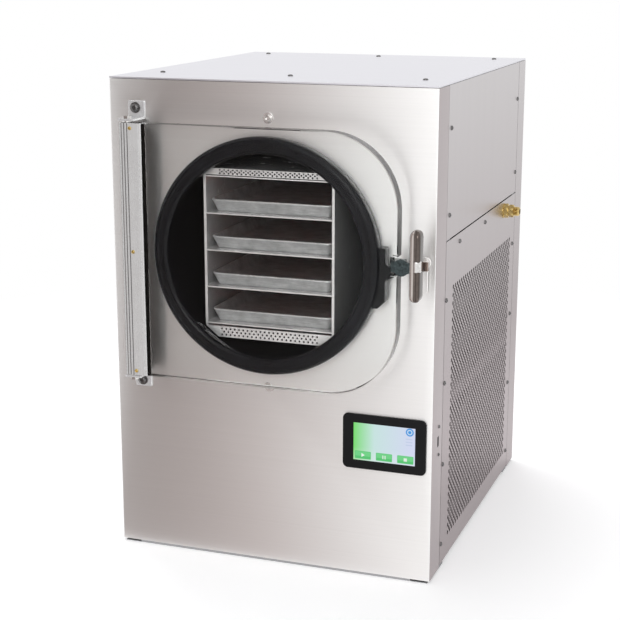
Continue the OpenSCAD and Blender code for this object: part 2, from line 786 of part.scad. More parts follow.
// Bezel with a skirt that locates it in the panel
module screen_bezel() {
    color([0.04, 0.04, 0.045]) in_cabinet() translate([screen_x, 0, screen_z]) {
        upright(0, 3) difference() {
            rounded_rect(126.2, 83.5, 8);
            square([screen_w, screen_h], center = true);
        }
        upright(6, 6.5) difference() {
            square([cutout_w - 0.6, cutout_h - 0.6], center = true);
            square([cutout_w - 6.6, cutout_h - 6.6], center = true);
        }
    }
}

module screen_glass() {
    color([0.62, 0.82, 0.72]) in_cabinet()
        translate([screen_x, 0, screen_z]) upright(0, 2)
            square([screen_w, screen_h], center = true);
}

module screen_module() {
    color([0.16, 0.30, 0.24]) in_cabinet() translate([screen_x, 0, screen_z]) {
        upright(6, 6) square([cutout_w - 6.8, cutout_h - 6.8], center = true);
        upright(7.6, 1.6) rounded_rect(120, 78, 3);
        upright(20, 12.4) rounded_rect(96, 60, 2);
    }
}

// Panel socket: a shell with a tongue inside, its mouth in the side return
module usb_port() {
    color([0.12, 0.12, 0.13]) in_cabinet() translate([half_w, usb_y, usb_z]) {
        difference() {
            translate([-sheet_t - 12, -8, -27]) cube([12, 16, 54]);
            translate([-12, -2.4, -6.6]) cube([20, 4.8, 13.2]);
        }
        difference() {
            translate([-sheet_t - 1, -3.3, -7.7]) cube([sheet_t + 1.2, 6.6, 15.4]);
            translate([-12, -2.4, -6.6]) cube([20, 4.8, 13.2]);
        }
        translate([-12, -2.4, -5.6]) cube([9, 1.7, 11.2]);
    }
}

// Mains inlet with the power switch above it, pushed in from the rear
module power_inlet() {
    color([0.06, 0.06, 0.065]) in_cabinet() translate([inlet_x, body_d, inlet_z]) {
        difference() {
            union() {
                upright(2, 2) rounded_rect(32, 54, 3);
                upright(0, 26) square([27.4, 47.4], center = true);
            }
            upright(5, 23) translate([0, -9]) rounded_rect(24, 16.5, 3);
            upright(5, 21) translate([0, 13]) square([20.8, 14.4], center = true);
        }
        for (x = [-7, 0, 7])
            slab([x - 1, -19, x == 0 ? -8 : -12], [x + 1, -4, x == 0 ? -4 : -8]);
    }
}

// Rocker with two faces that meet at a shallow angle, pivoted across its width
module power_rocker() {
    reach = 6.3;
    color([0.55, 0.05, 0.05]) in_cabinet()
        translate([inlet_x, body_d - 4, inlet_z + 13]) rotate([8, 0, 0])
            rotate([90, 0, 90]) translate([0, 0, -10]) linear_extrude(height = 20)
                polygon([[4.9, -reach], [4, 0], [4.9, reach], [-2, reach - 0.4],
                         [-6, 2.5], [-6, -2.5], [-2, 0.4 - reach]]);
}

// Mains outlet for the vacuum pump
module pump_outlet() {
    color([0.06, 0.06, 0.065]) in_cabinet() translate([outlet_x, body_d, outlet_z])
        difference() {
            union() {
                upright(2, 2) rounded_rect(32, 26, 3);
                upright(0, 26) square([27.4, 21.4], center = true);
            }
            upright(5, 21) difference() {
                rounded_rect(25, 17.5, 3);
                rounded_rect(21, 12.5, 2);
            }
            for (x = [-7, 0, 7]) upright(5, 19)
                translate([x, x == 0 ? 2 : -2]) square([2.6, 4.6], center = true);
        }
}

// ---------- door and latch ----------

// Mirrors a piece made at the door's top hinge to the bottom hinge too
module both_hinges() {
    children();
    translate([0, 0, 2*door_mid_z]) mirror([0, 0, 1]) children();
}

module hinge_brackets() {
    mid = hinge_x - 1.5;
    top = door_mid_z + door_h/2;
    color([0.78, 0.78, 0.79]) in_cabinet() both_hinges() difference() {
        union() {
            upright(0, 3) translate([mid, top + 15.5]) rounded_rect(26, 26, 4);
            translate([0, 0, top + 2.5]) linear_extrude(height = 3) {
                translate([mid - 13, -30]) square([26, 30]);
                translate([mid, hinge_y]) circle(r = 13, $fn = 64);
            }
        }
        translate([hinge_x, hinge_y, top]) cylinder(r = pin_r, h = 10, $fn = 40);
        translate([hinge_x - 2.5, -5, bracket_bolt_z[1]]) rotate([-90, 0, 0])
            cylinder(r = 4.2, h = 10, $fn = 32);
    }
}

module bracket_bolts() {
    color([0.72, 0.72, 0.73]) in_cabinet() both_hinges()
        translate([hinge_x - 2.5, -3, bracket_bolt_z[1]]) rotate([90, 0, 0]) {
            cylinder(r = 8, h = 1.2, $fn = 48);
            translate([0, 0, 1.2]) cylinder(r = 6, h = 4, $fn = 6);
            translate([0, 0, -12]) cylinder(r = 4, h = 12.5, $fn = 32);
        }
}

// Headed pivots, each with a plain washer between bracket and rail
module hinge_pins() {
    top = door_mid_z + door_h/2;
    color([0.66, 0.66, 0.67]) in_cabinet() both_hinges() translate([hinge_x, hinge_y, top]) {
        translate([0, 0, -18]) cylinder(r = pin_r, h = 24, $fn = 40);
        translate([0, 0, 0.3]) cylinder(r = 6.8, h = 2.2, $fn = 48);
        translate([0, 0, 5.5]) cylinder(r = 6.5, h = 4, $fn = 6);
    }
}

module door_outline() {
    low = door_mid_z - door_h/2;
    r = door_corner_r;
    for (z = [low + r, low + door_h - r])
        translate([door_right - r, z]) circle(r = r, $fn = 160);
    translate([rail_left + rail_wall, low])
        square([door_right - r - rail_left - rail_wall, door_h]);
    translate([rail_left + rail_wall, low + r])
        square([door_right - rail_left - rail_wall, door_h - 2*r]);
}

module door_plate() {
    color([0.85, 0.93, 0.95, 0.35]) in_cabinet() upright(door_back, door_t) difference() {
        door_outline();
        translate([door_right, latch_z]) square([2*notch_depth, notch_h], center = true);
    }
}

// Extruded rail: a channel that grips the plate and a bored hinge barrel
module hinge_rail() {
    color([0.86, 0.87, 0.88]) in_cabinet()
        translate([0, 0, door_mid_z - door_h/2]) linear_extrude(height = door_h) difference() {
            union() {
                translate([rail_left, door_front - rail_wall])
                    square([rail_right - rail_left, door_t + 2*rail_wall]);
                translate([hinge_x, hinge_y]) circle(r = 6.5, $fn = 48);
                translate([hinge_x, hinge_y - 4]) square([rail_left - hinge_x + 1, 8]);
            }
            translate([rail_left + rail_wall, door_front])
                square([rail_right - rail_left, door_t]);
            translate([hinge_x, hinge_y]) circle(r = pin_r + running_gap, $fn = 40);
        }
}

module rail_screws() {
    color([0.80, 0.55, 0.28]) in_cabinet()
        for (z = [door_mid_z - door_h/2 + 7, door_mid_z, door_mid_z + door_h/2 - 7])
            translate([rail_left + 8, door_front - rail_wall, z]) rotate([90, 0, 0])
                pan_head(2.8, 1.6);
}

// Clamp in the notch of the door plate, with a bored arm for the latch shaft
module latch_bracket() {
    notch_x = door_right - notch_depth;
    color([0.62, 0.60, 0.56]) in_cabinet() difference() {
        union() {
            slab([notch_x, door_front, latch_z - notch_h/2 + 1],
                 [door_right + 3, door_back, latch_z + notch_h/2 - 1]);
            upright(door_front, 3) translate([notch_x + 1, latch_z]) rounded_rect(24, 34, 4);
            upright(door_back + 2, 2) translate([notch_x + 3, latch_z]) rounded_rect(20, 30, 3);
            upright(door_back, door_t) {
                translate([door_right, latch_z - 7]) square([latch_x - door_right, 14]);
                translate([latch_x, latch_z]) circle(r = 9, $fn = 64);
            }
        }
        translate([latch_x, -50, latch_z]) rotate([-90, 0, 0])
            cylinder(r = shaft_r + running_gap, h = 40, $fn = 48);
    }
}

module latch_shaft() {
    color([0.70, 0.68, 0.64]) in_cabinet() {
        translate([latch_x, handle_y, latch_z]) rotate([-90, 0, 0])
            cylinder(r = shaft_r, h = hook_y + hook_t - handle_y, $fn = 48);
        translate([latch_x, handle_y + handle_r - 0.5, latch_z]) rotate([-90, 0, 0])
            cylinder(r = 7, h = door_front - handle_y - handle_r, $fn = 48);
    }
}

module latch_handle() {
    half = handle_l/2;
    color([0.60, 0.56, 0.52]) in_cabinet() translate([latch_x, handle_y, latch_z]) {
        difference() {
            rotate_extrude($fn = 64) polygon(concat(
                [[0, -half]],
                arc(handle_r - 6, 6 - half, 6, -90, 0, 6),
                arc(handle_r - 6, half - 6, 6, 0, 90, 6),
                [[0, half]]));
            rotate([-90, 0, 0]) cylinder(r = shaft_r, h = 20, $fn = 48);
            translate([0, 8, 0]) rotate([-90, 0, 0]) cylinder(r = 7, h = 5, $fn = 48);
        }
        translate([0, -handle_r + 1.2, 0]) rotate([90, 0, 0])
            cylinder(r = 5.5, h = 1.8, $fn = 48);
    }
}

module latch_hook() {
    color([0.66, 0.65, 0.63]) in_cabinet() upright(hook_y + hook_t, hook_t) difference() {
        union() {
            translate([latch_x, latch_z]) circle(r = 11, $fn = 64);
            translate([latch_x - 5.5, latch_z - hook_reach + 5]) square([11, hook_reach - 5]);
            translate([latch_x, latch_z - hook_reach + 5.5]) circle(r = 5.5, $fn = 40);
        }
        translate([latch_x, latch_z]) circle(r = shaft_r, $fn = 48);
    }
}

front_panel();
top_panel();
rear_panel();
right_upper_panel();
right_lower_panel();
left_upper_panel();
left_lower_panel();
base_pan();
chassis_frame();
machine_deck();
panel_screws();
chamber_drum();
door_gasket();
flange_bolts();
evaporator_coil();
chamber_insulation();
keeper_block();
rack_left_side();
rack_right_side();
rack_top_guard();
rack_bottom_guard();
rack_shelves();
heater_mats();
tray_1();
tray_2();
tray_3();
tray_4();
compressor();
compressor_grommets();
condenser();
fan_shroud();
fan_motor();
fan_blade();
filter_drier();
refrigerant_lines();
vacuum_fitting();
vacuum_pipe();
drain_hose();
drain_valve();
drain_lever();
control_board();
board_standoffs();
screen_bezel();
screen_glass();
screen_module();
usb_port();
power_inlet();
power_rocker();
pump_outlet();
hinge_brackets();
bracket_bolts();
hinge_pins();
door_plate();
hinge_rail();
rail_screws();
latch_bracket();
latch_shaft();
latch_handle();
latch_hook();
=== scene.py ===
# %% [markdown]
# # A freeze dryer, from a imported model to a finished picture
#
# The construction is already there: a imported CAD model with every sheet, screw, tube and hinge at its real
# size. This lesson gives each piece its finish, and makes again in fine detail the forms that the
# construction keeps coarse, such as the perforated side sheets, the clear door and the pressed trays.
# Lengths are in metres, in the frame of the model: x to the right, y to the rear, z up.

# %% Load the model
import json
import math

import bmesh
import bpy
import numpy as np
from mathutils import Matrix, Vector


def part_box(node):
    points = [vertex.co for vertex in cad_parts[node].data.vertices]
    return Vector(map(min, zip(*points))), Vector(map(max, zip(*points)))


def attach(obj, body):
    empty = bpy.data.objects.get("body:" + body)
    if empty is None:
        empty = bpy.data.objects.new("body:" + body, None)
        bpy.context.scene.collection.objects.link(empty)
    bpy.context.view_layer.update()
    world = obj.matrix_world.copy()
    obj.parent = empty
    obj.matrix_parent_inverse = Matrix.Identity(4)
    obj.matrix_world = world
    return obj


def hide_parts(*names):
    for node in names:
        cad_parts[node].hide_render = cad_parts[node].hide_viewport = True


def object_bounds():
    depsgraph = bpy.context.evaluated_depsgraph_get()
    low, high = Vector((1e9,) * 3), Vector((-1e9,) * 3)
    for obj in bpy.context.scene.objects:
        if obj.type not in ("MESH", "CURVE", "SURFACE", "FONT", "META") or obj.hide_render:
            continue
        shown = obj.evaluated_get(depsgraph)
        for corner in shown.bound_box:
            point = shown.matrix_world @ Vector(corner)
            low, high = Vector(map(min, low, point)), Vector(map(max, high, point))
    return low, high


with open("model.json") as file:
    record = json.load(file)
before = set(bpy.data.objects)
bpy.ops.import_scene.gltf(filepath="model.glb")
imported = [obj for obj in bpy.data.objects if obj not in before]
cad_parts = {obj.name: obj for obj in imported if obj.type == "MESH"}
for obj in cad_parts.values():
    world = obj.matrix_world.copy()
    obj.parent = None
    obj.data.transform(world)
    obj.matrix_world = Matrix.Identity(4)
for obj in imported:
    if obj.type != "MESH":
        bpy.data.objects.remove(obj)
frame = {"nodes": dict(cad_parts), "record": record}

nodes = frame["nodes"]
cad_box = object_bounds()
body_of = {n: b for b, members in frame["record"]["behaviour"]["bodies"].items() for n in members}
MM = 0.001


def middle(node):
    """The centre of a node's box."""
    low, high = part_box(node)
    return (low + high)/2


def add_object(name, data):
    """An object in the scene that shows a mesh, or is a lamp or a camera."""
    made = bpy.data.objects.new(name, data)
    bpy.context.scene.collection.objects.link(made)
    return made


# %% [markdown]
# ## The camera
#
# The machine is seen from its right, a little above its top, through a long lens. A long lens keeps the
# uprights nearly parallel, as a catalogue picture wants them. The floor and the lamps are set up for this
# view, so the camera comes first.

# %% Camera
SENSOR_MM = 36.0


def add_camera(place, tilt_deg, turn_deg, lens_mm):
    """A camera at a place, tilted up from straight down and turned about the vertical."""
    lens = bpy.data.cameras.new("camera")
    lens.lens = lens_mm
    lens.sensor_width = SENSOR_MM
    camera = add_object("camera", lens)
    camera.location = place
    camera.rotation_euler = (math.radians(tilt_deg), 0.0, math.radians(turn_deg))
    bpy.context.scene.camera = camera
    return camera


camera = add_camera((0.7527, -2.2118, 0.9031), tilt_deg=76.19, turn_deg=19.72, lens_mm=84.3)
print("camera at", tuple(round(v, 3) for v in camera.location))

# %% [markdown]
# ## Sums on surfaces
#
# A finish varies over its surface: a number such as a noise value drives a colour or a roughness. In the
# node editor that takes a row of Math nodes. Here a small class wraps a node's output, so that a sum such as
# `1 - mask*0.3` is written as it is said, and adds the Math nodes itself. Its operators are all alike, so a
# loop gives them to it. Every other node comes from one method, which sets the node's own settings first and
# its sockets after them.

# %% A number that varies over a surface
class Value:
    """A node's output, with Python's operators. Each operator adds one Math node."""

    def __init__(self, nodes_of, socket):
        self.nodes_of = nodes_of
        self.socket = socket

    def math(self, operation, *numbers):
        """The Math node's result on these numbers or values, in their order."""
        made = self.nodes_of.node("ShaderNodeMath", {"operation": operation}, dict(enumerate(numbers)))
        return Value(self.nodes_of, made.outputs[0])

    def __abs__(self):
        return self.math("ABSOLUTE", self)

    def at_least(self, other):
        """The larger of the two."""
        return self.math("MAXIMUM", self, other)

    def rises(self, start, end):
        """0 below start and 1 above end, with a straight line between. It falls where end is below start."""
        made = self.nodes_of.node("ShaderNodeMapRange", {"clamp": True},
                                  {"Value": self, "From Min": start, "From Max": end})
        return Value(self.nodes_of, made.outputs[0])


def operator(name, operation):
    """Gives values one of Python's operators, and its reflected form, which makes 1 - mask work."""
    setattr(Value, f"__{name}__", lambda self, other: self.math(operation, self, other))
    setattr(Value, f"__r{name}__", lambda self, other: self.math(operation, other, self))


for name, operation in {"add": "ADD", "sub": "SUBTRACT", "mul": "MULTIPLY", "truediv": "DIVIDE",
                        "pow": "POWER"}.items():
    operator(name, operation)


# %% The node maker
class Nodes:
    """The nodes of one material, or of the world."""

    def __init__(self, tree):
        self.tree = tree
        tree.nodes.clear()

    def node(self, kind, settings=None, inputs=None):
        """Any node: its settings are set first, then its sockets get their values or links."""
        made = self.tree.nodes.new(kind)
        for name, setting in (settings or {}).items():
            setattr(made, name, setting)
        for name, given in (inputs or {}).items():
            given = getattr(given, "socket", given)
            if isinstance(given, bpy.types.NodeSocket):
                self.tree.links.new(given, made.inputs[name])
            else:
                made.inputs[name].default_value = given
        return made

    def place(self):
        """Object coordinates, which are the model's own metres."""
        return self.node("ShaderNodeTexCoord").outputs["Object"]

    def axes(self):
        """x, y and z as three values."""
        split = self.node("ShaderNodeSeparateXYZ", None, {0: self.place()})
        return [Value(self, socket) for socket in split.outputs]

    def noise(self, scale, detail=2.0, rough=0.5):
        """Soft noise about 0.5. scale is its cells in a metre along x, y and z: unlike ones make streaks."""
        mapped = self.node("ShaderNodeMapping", None, {"Vector": self.place(), "Scale": scale})
        made = self.node("ShaderNodeTexNoise", None,
                         {"Vector": mapped.outputs[0], "Scale": 1.0, "Detail": detail, "Roughness": rough})
        return Value(self, made.outputs[0])

    def cells(self, scale):
        """Distance to the nearest border between cells that are scattered so many to a metre."""
        made = self.node("ShaderNodeTexVoronoi", {"feature": "DISTANCE_TO_EDGE"},
                         {"Vector": self.place(), "Scale": scale})
        return Value(self, made.outputs[0])

    def between(self, mask, low, high):
        """A colour from low, where the mask is 0, to high, where it is 1."""
        made = self.node("ShaderNodeMix", {"data_type": "RGBA"}, {0: mask, 6: paint(low), 7: paint(high)})
        return made.outputs[2]

    def bump(self, height, depth):
        """A normal for a surface that stands up by height times depth, in metres."""
        return self.node("ShaderNodeBump", None,
                         {"Height": height, "Distance": depth, "Strength": 1.0}).outputs[0]

    def ray(self, *kinds):
        """1 for rays of these kinds, and 0 for the rest."""
        path = self.node("ShaderNodeLightPath")
        total = Value(self, path.outputs[kinds[0]])
        for kind in kinds[1:]:
            total = total.at_least(Value(self, path.outputs[kind]))
        return total

    def plain(self, kind, colour, **strength):
        """A shader of one colour, such as a BsdfDiffuse or an Emission."""
        return self.node("ShaderNode" + kind, None, {"Color": paint(colour), **strength}).outputs[0]

    def mix(self, mask, first, second):
        """The first shader where the mask is 0 and the second where it is 1."""
        return self.node("ShaderNodeMixShader", None, {0: mask, 1: first, 2: second}).outputs[0]

    def output(self, shader, kind="ShaderNodeOutputMaterial"):
        """Ends the tree with this shader."""
        self.node(kind, None, {"Surface": shader})


WHITE = (1.0, 1.0, 1.0)


def paint(colour):
    """A colour with its alpha, or a link as it is."""
    return (*colour, 1.0) if isinstance(colour, tuple) and len(colour) == 3 else colour


def finish(name, make):
    """A new material. make gets its nodes and returns the sockets of a Principled shader."""
    material = bpy.data.materials.new(name)
    material.use_nodes = True
    tree = Nodes(material.node_tree)
    sockets = make(tree)
    if isinstance(sockets, dict):
        sockets["Base Color"] = paint(sockets.get("Base Color", (0.8, 0.8, 0.8)))
        sockets = tree.node("ShaderNodeBsdfPrincipled", None, sockets).outputs[0]
    tree.output(sockets)
    return material


print("finishes can be mixed")

# %% [markdown]
# ## Brushed steel
#
# The front is stainless sheet, brushed from side to side with an abrasive belt. Each scratch is a tiny
# groove along x, so the sheet blurs what it mirrors up and down, across the scratches, and keeps it fairly
# sharp from side to side. A painted-on picture of streaks couldn't do that. Two things together can: an
# anisotropic highlight, turned a quarter so that it stretches upwards, and noise that is stretched along x,
# which moves the roughness, the tone and the height a little.

# %% Brushed steel
SIDE_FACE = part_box("front_panel")[1].x
# Heights in metres between which the painted shade low on the side sheets fades out upwards.
SHADE_FULL_BELOW, SHADE_GONE_ABOVE = 0.28, 0.72
SCRATCH_DEPTH = 0.02*MM


def brushed(name, colour, grain, roughness, spread, stretch=0.0, turned=0.0, returns=None, low_shade=None):
    """Steel with streaks. grain is the streaks' cells in a metre along x, y and z, and spread how much they
    differ in tone. stretch and turned are the highlight's. returns is the darker colour of the front panel's
    two folded sides, painted shade where light falls on them less, and the last is painted shade low down."""

    def make(n):
        fine = n.noise(grain, detail=3.0, rough=0.6)
        broad = n.noise(tuple(0.12*g for g in grain), detail=2.0)
        tone = (0.65*fine + 0.35*broad).rises(0.3, 0.7)
        dark = tuple(c*(1 - spread) for c in colour)
        light = tuple(min(1.0, c*(1 + spread)) for c in colour)
        sheet = n.between(tone, dark, light)
        x, _, z = n.axes()
        # Painted shade: the sheet is darker low down, towards the floor.
        if low_shade:
            sheet = n.between(z.rises(SHADE_FULL_BELOW, SHADE_GONE_ABOVE), low_shade, sheet)
        # Painted shade: the front panel's folded sides get a darker colour, where the light falls on them
        # less.
        if returns:
            sheet = n.between(abs(x).rises(SIDE_FACE - 0.8*MM, SIDE_FACE - 0.2*MM), sheet, returns)
        return {"Base Color": sheet, "Metallic": 1.0,
                "Roughness": roughness + 0.08*(fine - 0.5),
                "Anisotropic": stretch, "Anisotropic Rotation": turned,
                "Normal": n.bump(fine, SCRATCH_DEPTH)}

    return finish(name, make)


front_steel = brushed("brushed front steel", (0.96, 0.95, 0.94), (2.0, 2.0, 1300.0), 0.42, 0.025,
                      stretch=0.88, turned=0.25, returns=(0.45, 0.40, 0.405))
side_steel = brushed("side steel", (0.58, 0.555, 0.56), (400.0, 400.0, 3.0), 0.36, 0.025,
                     low_shade=(0.36, 0.31, 0.315))
lid_steel = brushed("lid steel", (0.76, 0.755, 0.80), (3.0, 400.0, 400.0), 0.38, 0.02)
pan_steel = brushed("pan steel", (0.42, 0.42, 0.43), (3.0, 3.0, 900.0), 0.45, 0.08)
print("steel is brushed")

# %% [markdown]
# ## Metals that are cast, drawn and turned
#
# The rail and the brackets are mill aluminium and zinc plate: bright, but clouded, as if by thin frost. Trays
# and rack are thin aluminium that has been washed many times, so it is dull and finely scratched. Copper and
# brass darken unevenly where hands and heat reach them. One function makes them all from a clean colour, a
# tarnished one and the size of the clouds.

# %% Clouded metals
STREAK_DEPTH = 0.03*MM


def metal(name, clean, tarnished, roughness, clouds, grain=None, bare=1.0, stripes=None):
    """Metal from clean to tarnished in clouds of so many to a metre, with streaks where a grain is given.
    bare is how much of it mirrors, and stripes may change the colour by place."""

    def make(n):
        cloud = n.noise((clouds, clouds, clouds), detail=5.0, rough=0.62)
        streak = n.noise(grain or (9*clouds, 9*clouds, 9*clouds), detail=3.0)
        mask = (0.6*cloud + 0.4*streak).rises(0.36, 0.66)
        colour = n.between(mask, tarnished, clean)
        return {"Base Color": stripes(n, colour) if stripes else colour, "Metallic": bare,
                "Roughness": roughness + 0.12*(0.5 - mask),
                "Normal": n.bump(streak, STREAK_DEPTH)}

    return finish(name, make)


pin = middle("hinge_pins")
RAIL_LEFT = sum(corner.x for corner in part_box("hinge_pins"))/2 - 8.5*MM
RAIL_RIGHT = pin.x + 26*MM
# Distances from the rail's left edge of the thin lines of painted shade along its front.
SHADE_LINES = (0.8*MM, 4.2*MM, 8.5*MM, 13.2*MM)
handle_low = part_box("latch_handle")[0]


def painted_shade_back(n, colour):
    """Painted shade: the rail's back and right side, which face the cabinet close by, are painted dark, and
    thin dark lines of painted shade run along its front, in and beside its grooves."""
    x, y, _ = n.axes()
    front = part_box("hinge_rail")[0].y
    # Painted shade on the rail's back and right side, which face the cabinet.
    behind_rail_shade = y.rises(front + 3*MM, front + 8*MM)
    # Painted shade: thin dark lines along the front, in and beside the grooves.
    for groove in SHADE_LINES:
        line = abs(x - (RAIL_LEFT + groove)).rises(1.0*MM, 0.5*MM)
        colour = n.between(line, colour, (0.26, 0.25, 0.25))
    return n.between(behind_rail_shade, colour, (0.10, 0.085, 0.08))


def painted_highlight_left(n, colour):
    """Painted highlight and shade on the handle: a bright band along the left of its front, and dark lines
    along both edges.
    """
    x, _, _ = n.axes()
    across = x.rises(handle_low.x + 2.5*MM, handle_low.x + 17.5*MM)
    # Painted shade: dark lines along both edges of the handle.
    edges = across.rises(0.02, 0.14)*(1 - across.rises(0.86, 0.98))
    # Painted highlight: the left of the front is much lighter than the rest.
    body = n.between(across.rises(0.38, 0.46), (0.60, 0.55, 0.52), colour)
    return n.between(edges, (0.09, 0.077, 0.07), body)


rail_metal = metal("mill aluminium", (0.86, 0.87, 0.87), (0.72, 0.72, 0.72), 0.26, 40.0, (700.0, 700.0, 5.0),
                   bare=0.45, stripes=painted_shade_back)
zinc = metal("zinc plate", (0.94, 0.94, 0.95), (0.72, 0.73, 0.74), 0.22, 160.0, bare=0.5)
bright_steel = metal("bright steel", (0.86, 0.85, 0.84), (0.62, 0.60, 0.58), 0.16, 220.0)
# The handle's nickel carries a painted highlight along its left and painted shade along its edges.
nickel = metal("dark nickel", (0.17, 0.14, 0.125), (0.10, 0.083, 0.075), 0.12, 120.0, (300.0, 300.0, 30.0),
               stripes=painted_highlight_left)
stub_metal = metal("brown nickel", (0.40, 0.31, 0.27), (0.24, 0.18, 0.16), 0.2, 160.0)
gunmetal = metal("gunmetal", (0.11, 0.14, 0.145), (0.008, 0.009, 0.009), 0.12, 320.0, (500.0, 500.0, 500.0))
tray_metal = metal("washed aluminium", (0.72, 0.72, 0.72), (0.46, 0.46, 0.46), 0.34, 45.0,
                   (70.0, 500.0, 500.0), bare=0.5)
rack_metal = metal("rack aluminium", (0.93, 0.92, 0.92), (0.72, 0.71, 0.71), 0.22, 35.0, (40.0, 600.0, 600.0),
                   bare=0.6)
frame_steel = metal("frame steel", (0.34, 0.35, 0.36), (0.22, 0.22, 0.23), 0.48, 50.0)
brass = metal("brass", (0.80, 0.62, 0.26), (0.42, 0.29, 0.10), 0.20, 180.0)
copper = metal("copper", (0.86, 0.49, 0.33), (0.46, 0.22, 0.13), 0.26, 70.0)
dark_steel = metal("blackened screws", (0.26, 0.25, 0.25), (0.10, 0.10, 0.10), 0.28, 400.0)
print("metals are clouded")

# %% [markdown]
# ## Rubber, plastic and enamel
#
# None of these is metal. They differ in how smooth they are: the gasket's rubber has a soft sheen, the
# chamber's enamel is glossy with a slight orange peel, and moulded plastic carries the spark-eroded grain of
# its mould. Each gets a fine bump at its own scale and a roughness that wanders a little.

# %% Black and coloured plastics
def moulded(name, colour, roughness, grain, depth, gloss=0.5):
    """A moulded or painted surface with a grain of so many cells to a metre. gloss is how strongly it
    mirrors, and worn patches are a quarter darker."""

    def make(n):
        fine = n.noise((grain, grain, grain), detail=2.0)
        patches = n.noise((14.0, 14.0, 14.0), detail=3.0)
        worn = tuple(0.75*c for c in colour)
        return {"Base Color": n.between(patches.rises(0.35, 0.65), worn, colour),
                "Roughness": roughness + 0.10*(patches - 0.5) + 0.05*(fine - 0.5),
                "Specular IOR Level": gloss, "Normal": n.bump(fine, depth)}

    return finish(name, make)


rubber = moulded("gasket rubber", (0.006, 0.006, 0.008), 0.20, 700.0, 0.00002, gloss=0.18)
enamel = moulded("chamber enamel", (0.006, 0.0055, 0.006), 0.20, 260.0, 0.00004, gloss=0.11)
black_plastic = moulded("moulded plastic", (0.012, 0.012, 0.013), 0.40, 1400.0, 0.00004, gloss=0.35)
bezel_plastic = moulded("bezel plastic", (0.006, 0.006, 0.007), 0.32, 1600.0, 0.00002, gloss=0.18)
red_plastic = moulded("red plastic", (0.52, 0.03, 0.02), 0.35, 900.0, 0.00003)
keeper_black = moulded("keeper plastic", (0.004, 0.004, 0.005), 0.22, 1400.0, 0.00003, gloss=0.22)
heater_red = moulded("heater silicone", (0.50, 0.09, 0.04), 0.50, 900.0, 0.00006, gloss=0.3)
foam_black = moulded("closed-cell foam", (0.035, 0.035, 0.038), 0.85, 420.0, 0.0004)
print("plastics are moulded")

# %% [markdown]
# ## Clear acrylic
#
# The door is a thick clear plate. It is made as real glass, which bends the light at its faces and edges, and
# that bending draws the bright and dark lines along its rim. Such a plate would also throw a black shadow,
# because lamps can't be found through a bending surface. So shadow rays alone see a nearly clear surface.

# %% Clear materials
def clear(name, colour, bend, roughness, lets_through, glare=1.0):
    """A clear solid whose shadow rays pass through a plain tinted surface. glare is how much of the mirror
    image seen straight on is kept."""

    def make(n):
        glass = n.node("ShaderNodeBsdfPrincipled", None, {
            "Base Color": paint(colour), "Roughness": roughness, "IOR": bend, "Transmission Weight": 1.0,
            "Specular Tint": paint((glare, glare, glare))})
        return n.mix(n.ray("Is Shadow Ray"), glass.outputs[0], n.plain("BsdfTransparent", lets_through))

    return finish(name, make)


acrylic = clear("clear acrylic", (0.985, 0.995, 0.99), 1.49, 0.0, (0.93, 0.94, 0.94), glare=0.12)
clear_hose = clear("clear hose", (0.90, 0.93, 0.92), 1.45, 0.25, (0.7, 0.72, 0.72))
print("clear materials let lamps through")

# %% [markdown]
# ## Surfaces from numbers
#
# A mesh is a list of points and a list of faces. Most pieces here are a grid of points bent into shape: rings
# stacked along a path. So the faces always come from the same small function, and only the points differ.
# The points are worked out as whole arrays, which is both shorter and far quicker than a loop.

# %% Grids and closed shells
def grid(rows, columns):
    """Faces of a tube of points: each joins a point, the next in its row, and the two above them. The last
    column joins the first."""
    i, j = np.meshgrid(np.arange(rows - 1), np.arange(columns), indexing="ij")
    right = (j + 1) % columns
    corners = [i*columns + j, i*columns + right, (i + 1)*columns + right, (i + 1)*columns + j]
    return np.stack(corners, axis=-1).reshape(-1, 4)


def shell(rings):
    """Points and faces of a closed shell through rings (rows, columns, 3), with a flat cap on each end."""
    rows, columns = rings.shape[:2]
    faces = grid(rows, columns).tolist()
    faces.append(list(range(columns))[::-1])
    faces.append(list(range((rows - 1)*columns, rows*columns)))
    return rings.reshape(-1, 3), faces


def hoop(rings):
    """Points and faces of a ring-shaped solid: like a shell, but the last ring joins the first."""
    rows, columns = rings.shape[:2]
    closed = np.concatenate([rings, rings[:1]])
    faces = grid(rows + 1, columns) % (rows*columns)
    return closed[:rows].reshape(-1, 3), faces.tolist()


def together(*parts):
    """Several (points, faces) as one."""
    points, faces, start = [], [], 0
    for some, joined in parts:
        points.append(np.asarray(some, float))
        faces += [[start + corner for corner in face] for face in joined]
        start += len(some)
    return np.concatenate(points), faces


def opened(points, faces):
    """A mesh of these points and faces, and its working copy, which bmesh can change."""
    mesh = bpy.data.meshes.new("working mesh")
    mesh.from_pydata(np.asarray(points, float).tolist(), [], faces)
    work = bmesh.new()
    work.from_mesh(mesh)
    return mesh, work


def closed(mesh, work, name, material=None, sharp_deg=None):
    """Writes the working copy back into the mesh, which gets its name, its material and its sharp edges."""
    work.to_mesh(mesh)
    work.free()
    mesh.name = name
    if sharp_deg:
        mesh.shade_smooth()
        mesh.set_sharp_from_angle(angle=math.radians(sharp_deg))
    if material:
        mesh.materials.clear()
        mesh.materials.append(material)
    return mesh


def stands_for(node, name, mesh):
    """An object that rides where the CAD node rides and stands for it."""
    made = add_object(name, mesh)
    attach(made, body_of[node])
    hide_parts(node)
    return made


def piece(name, shape, node, material, sharp_deg=30.0):
    """A new piece from (points, faces) that stands for a CAD node."""
    mesh, work = opened(*shape)
    bmesh.ops.remove_doubles(work, verts=work.verts, dist=1e-6)
    bmesh.ops.recalc_face_normals(work, faces=work.faces)
    return stands_for(node, name, closed(mesh, work, name, material, sharp_deg))


def arc(centre, radius, start_deg, end_deg, count=8):
    """Points (count, 2) on a round stretch, from one angle to the other."""
    turn = np.radians(np.linspace(start_deg, end_deg, count))
    return np.stack([centre[0] + radius*np.cos(turn), centre[1] + radius*np.sin(turn)], axis=-1)


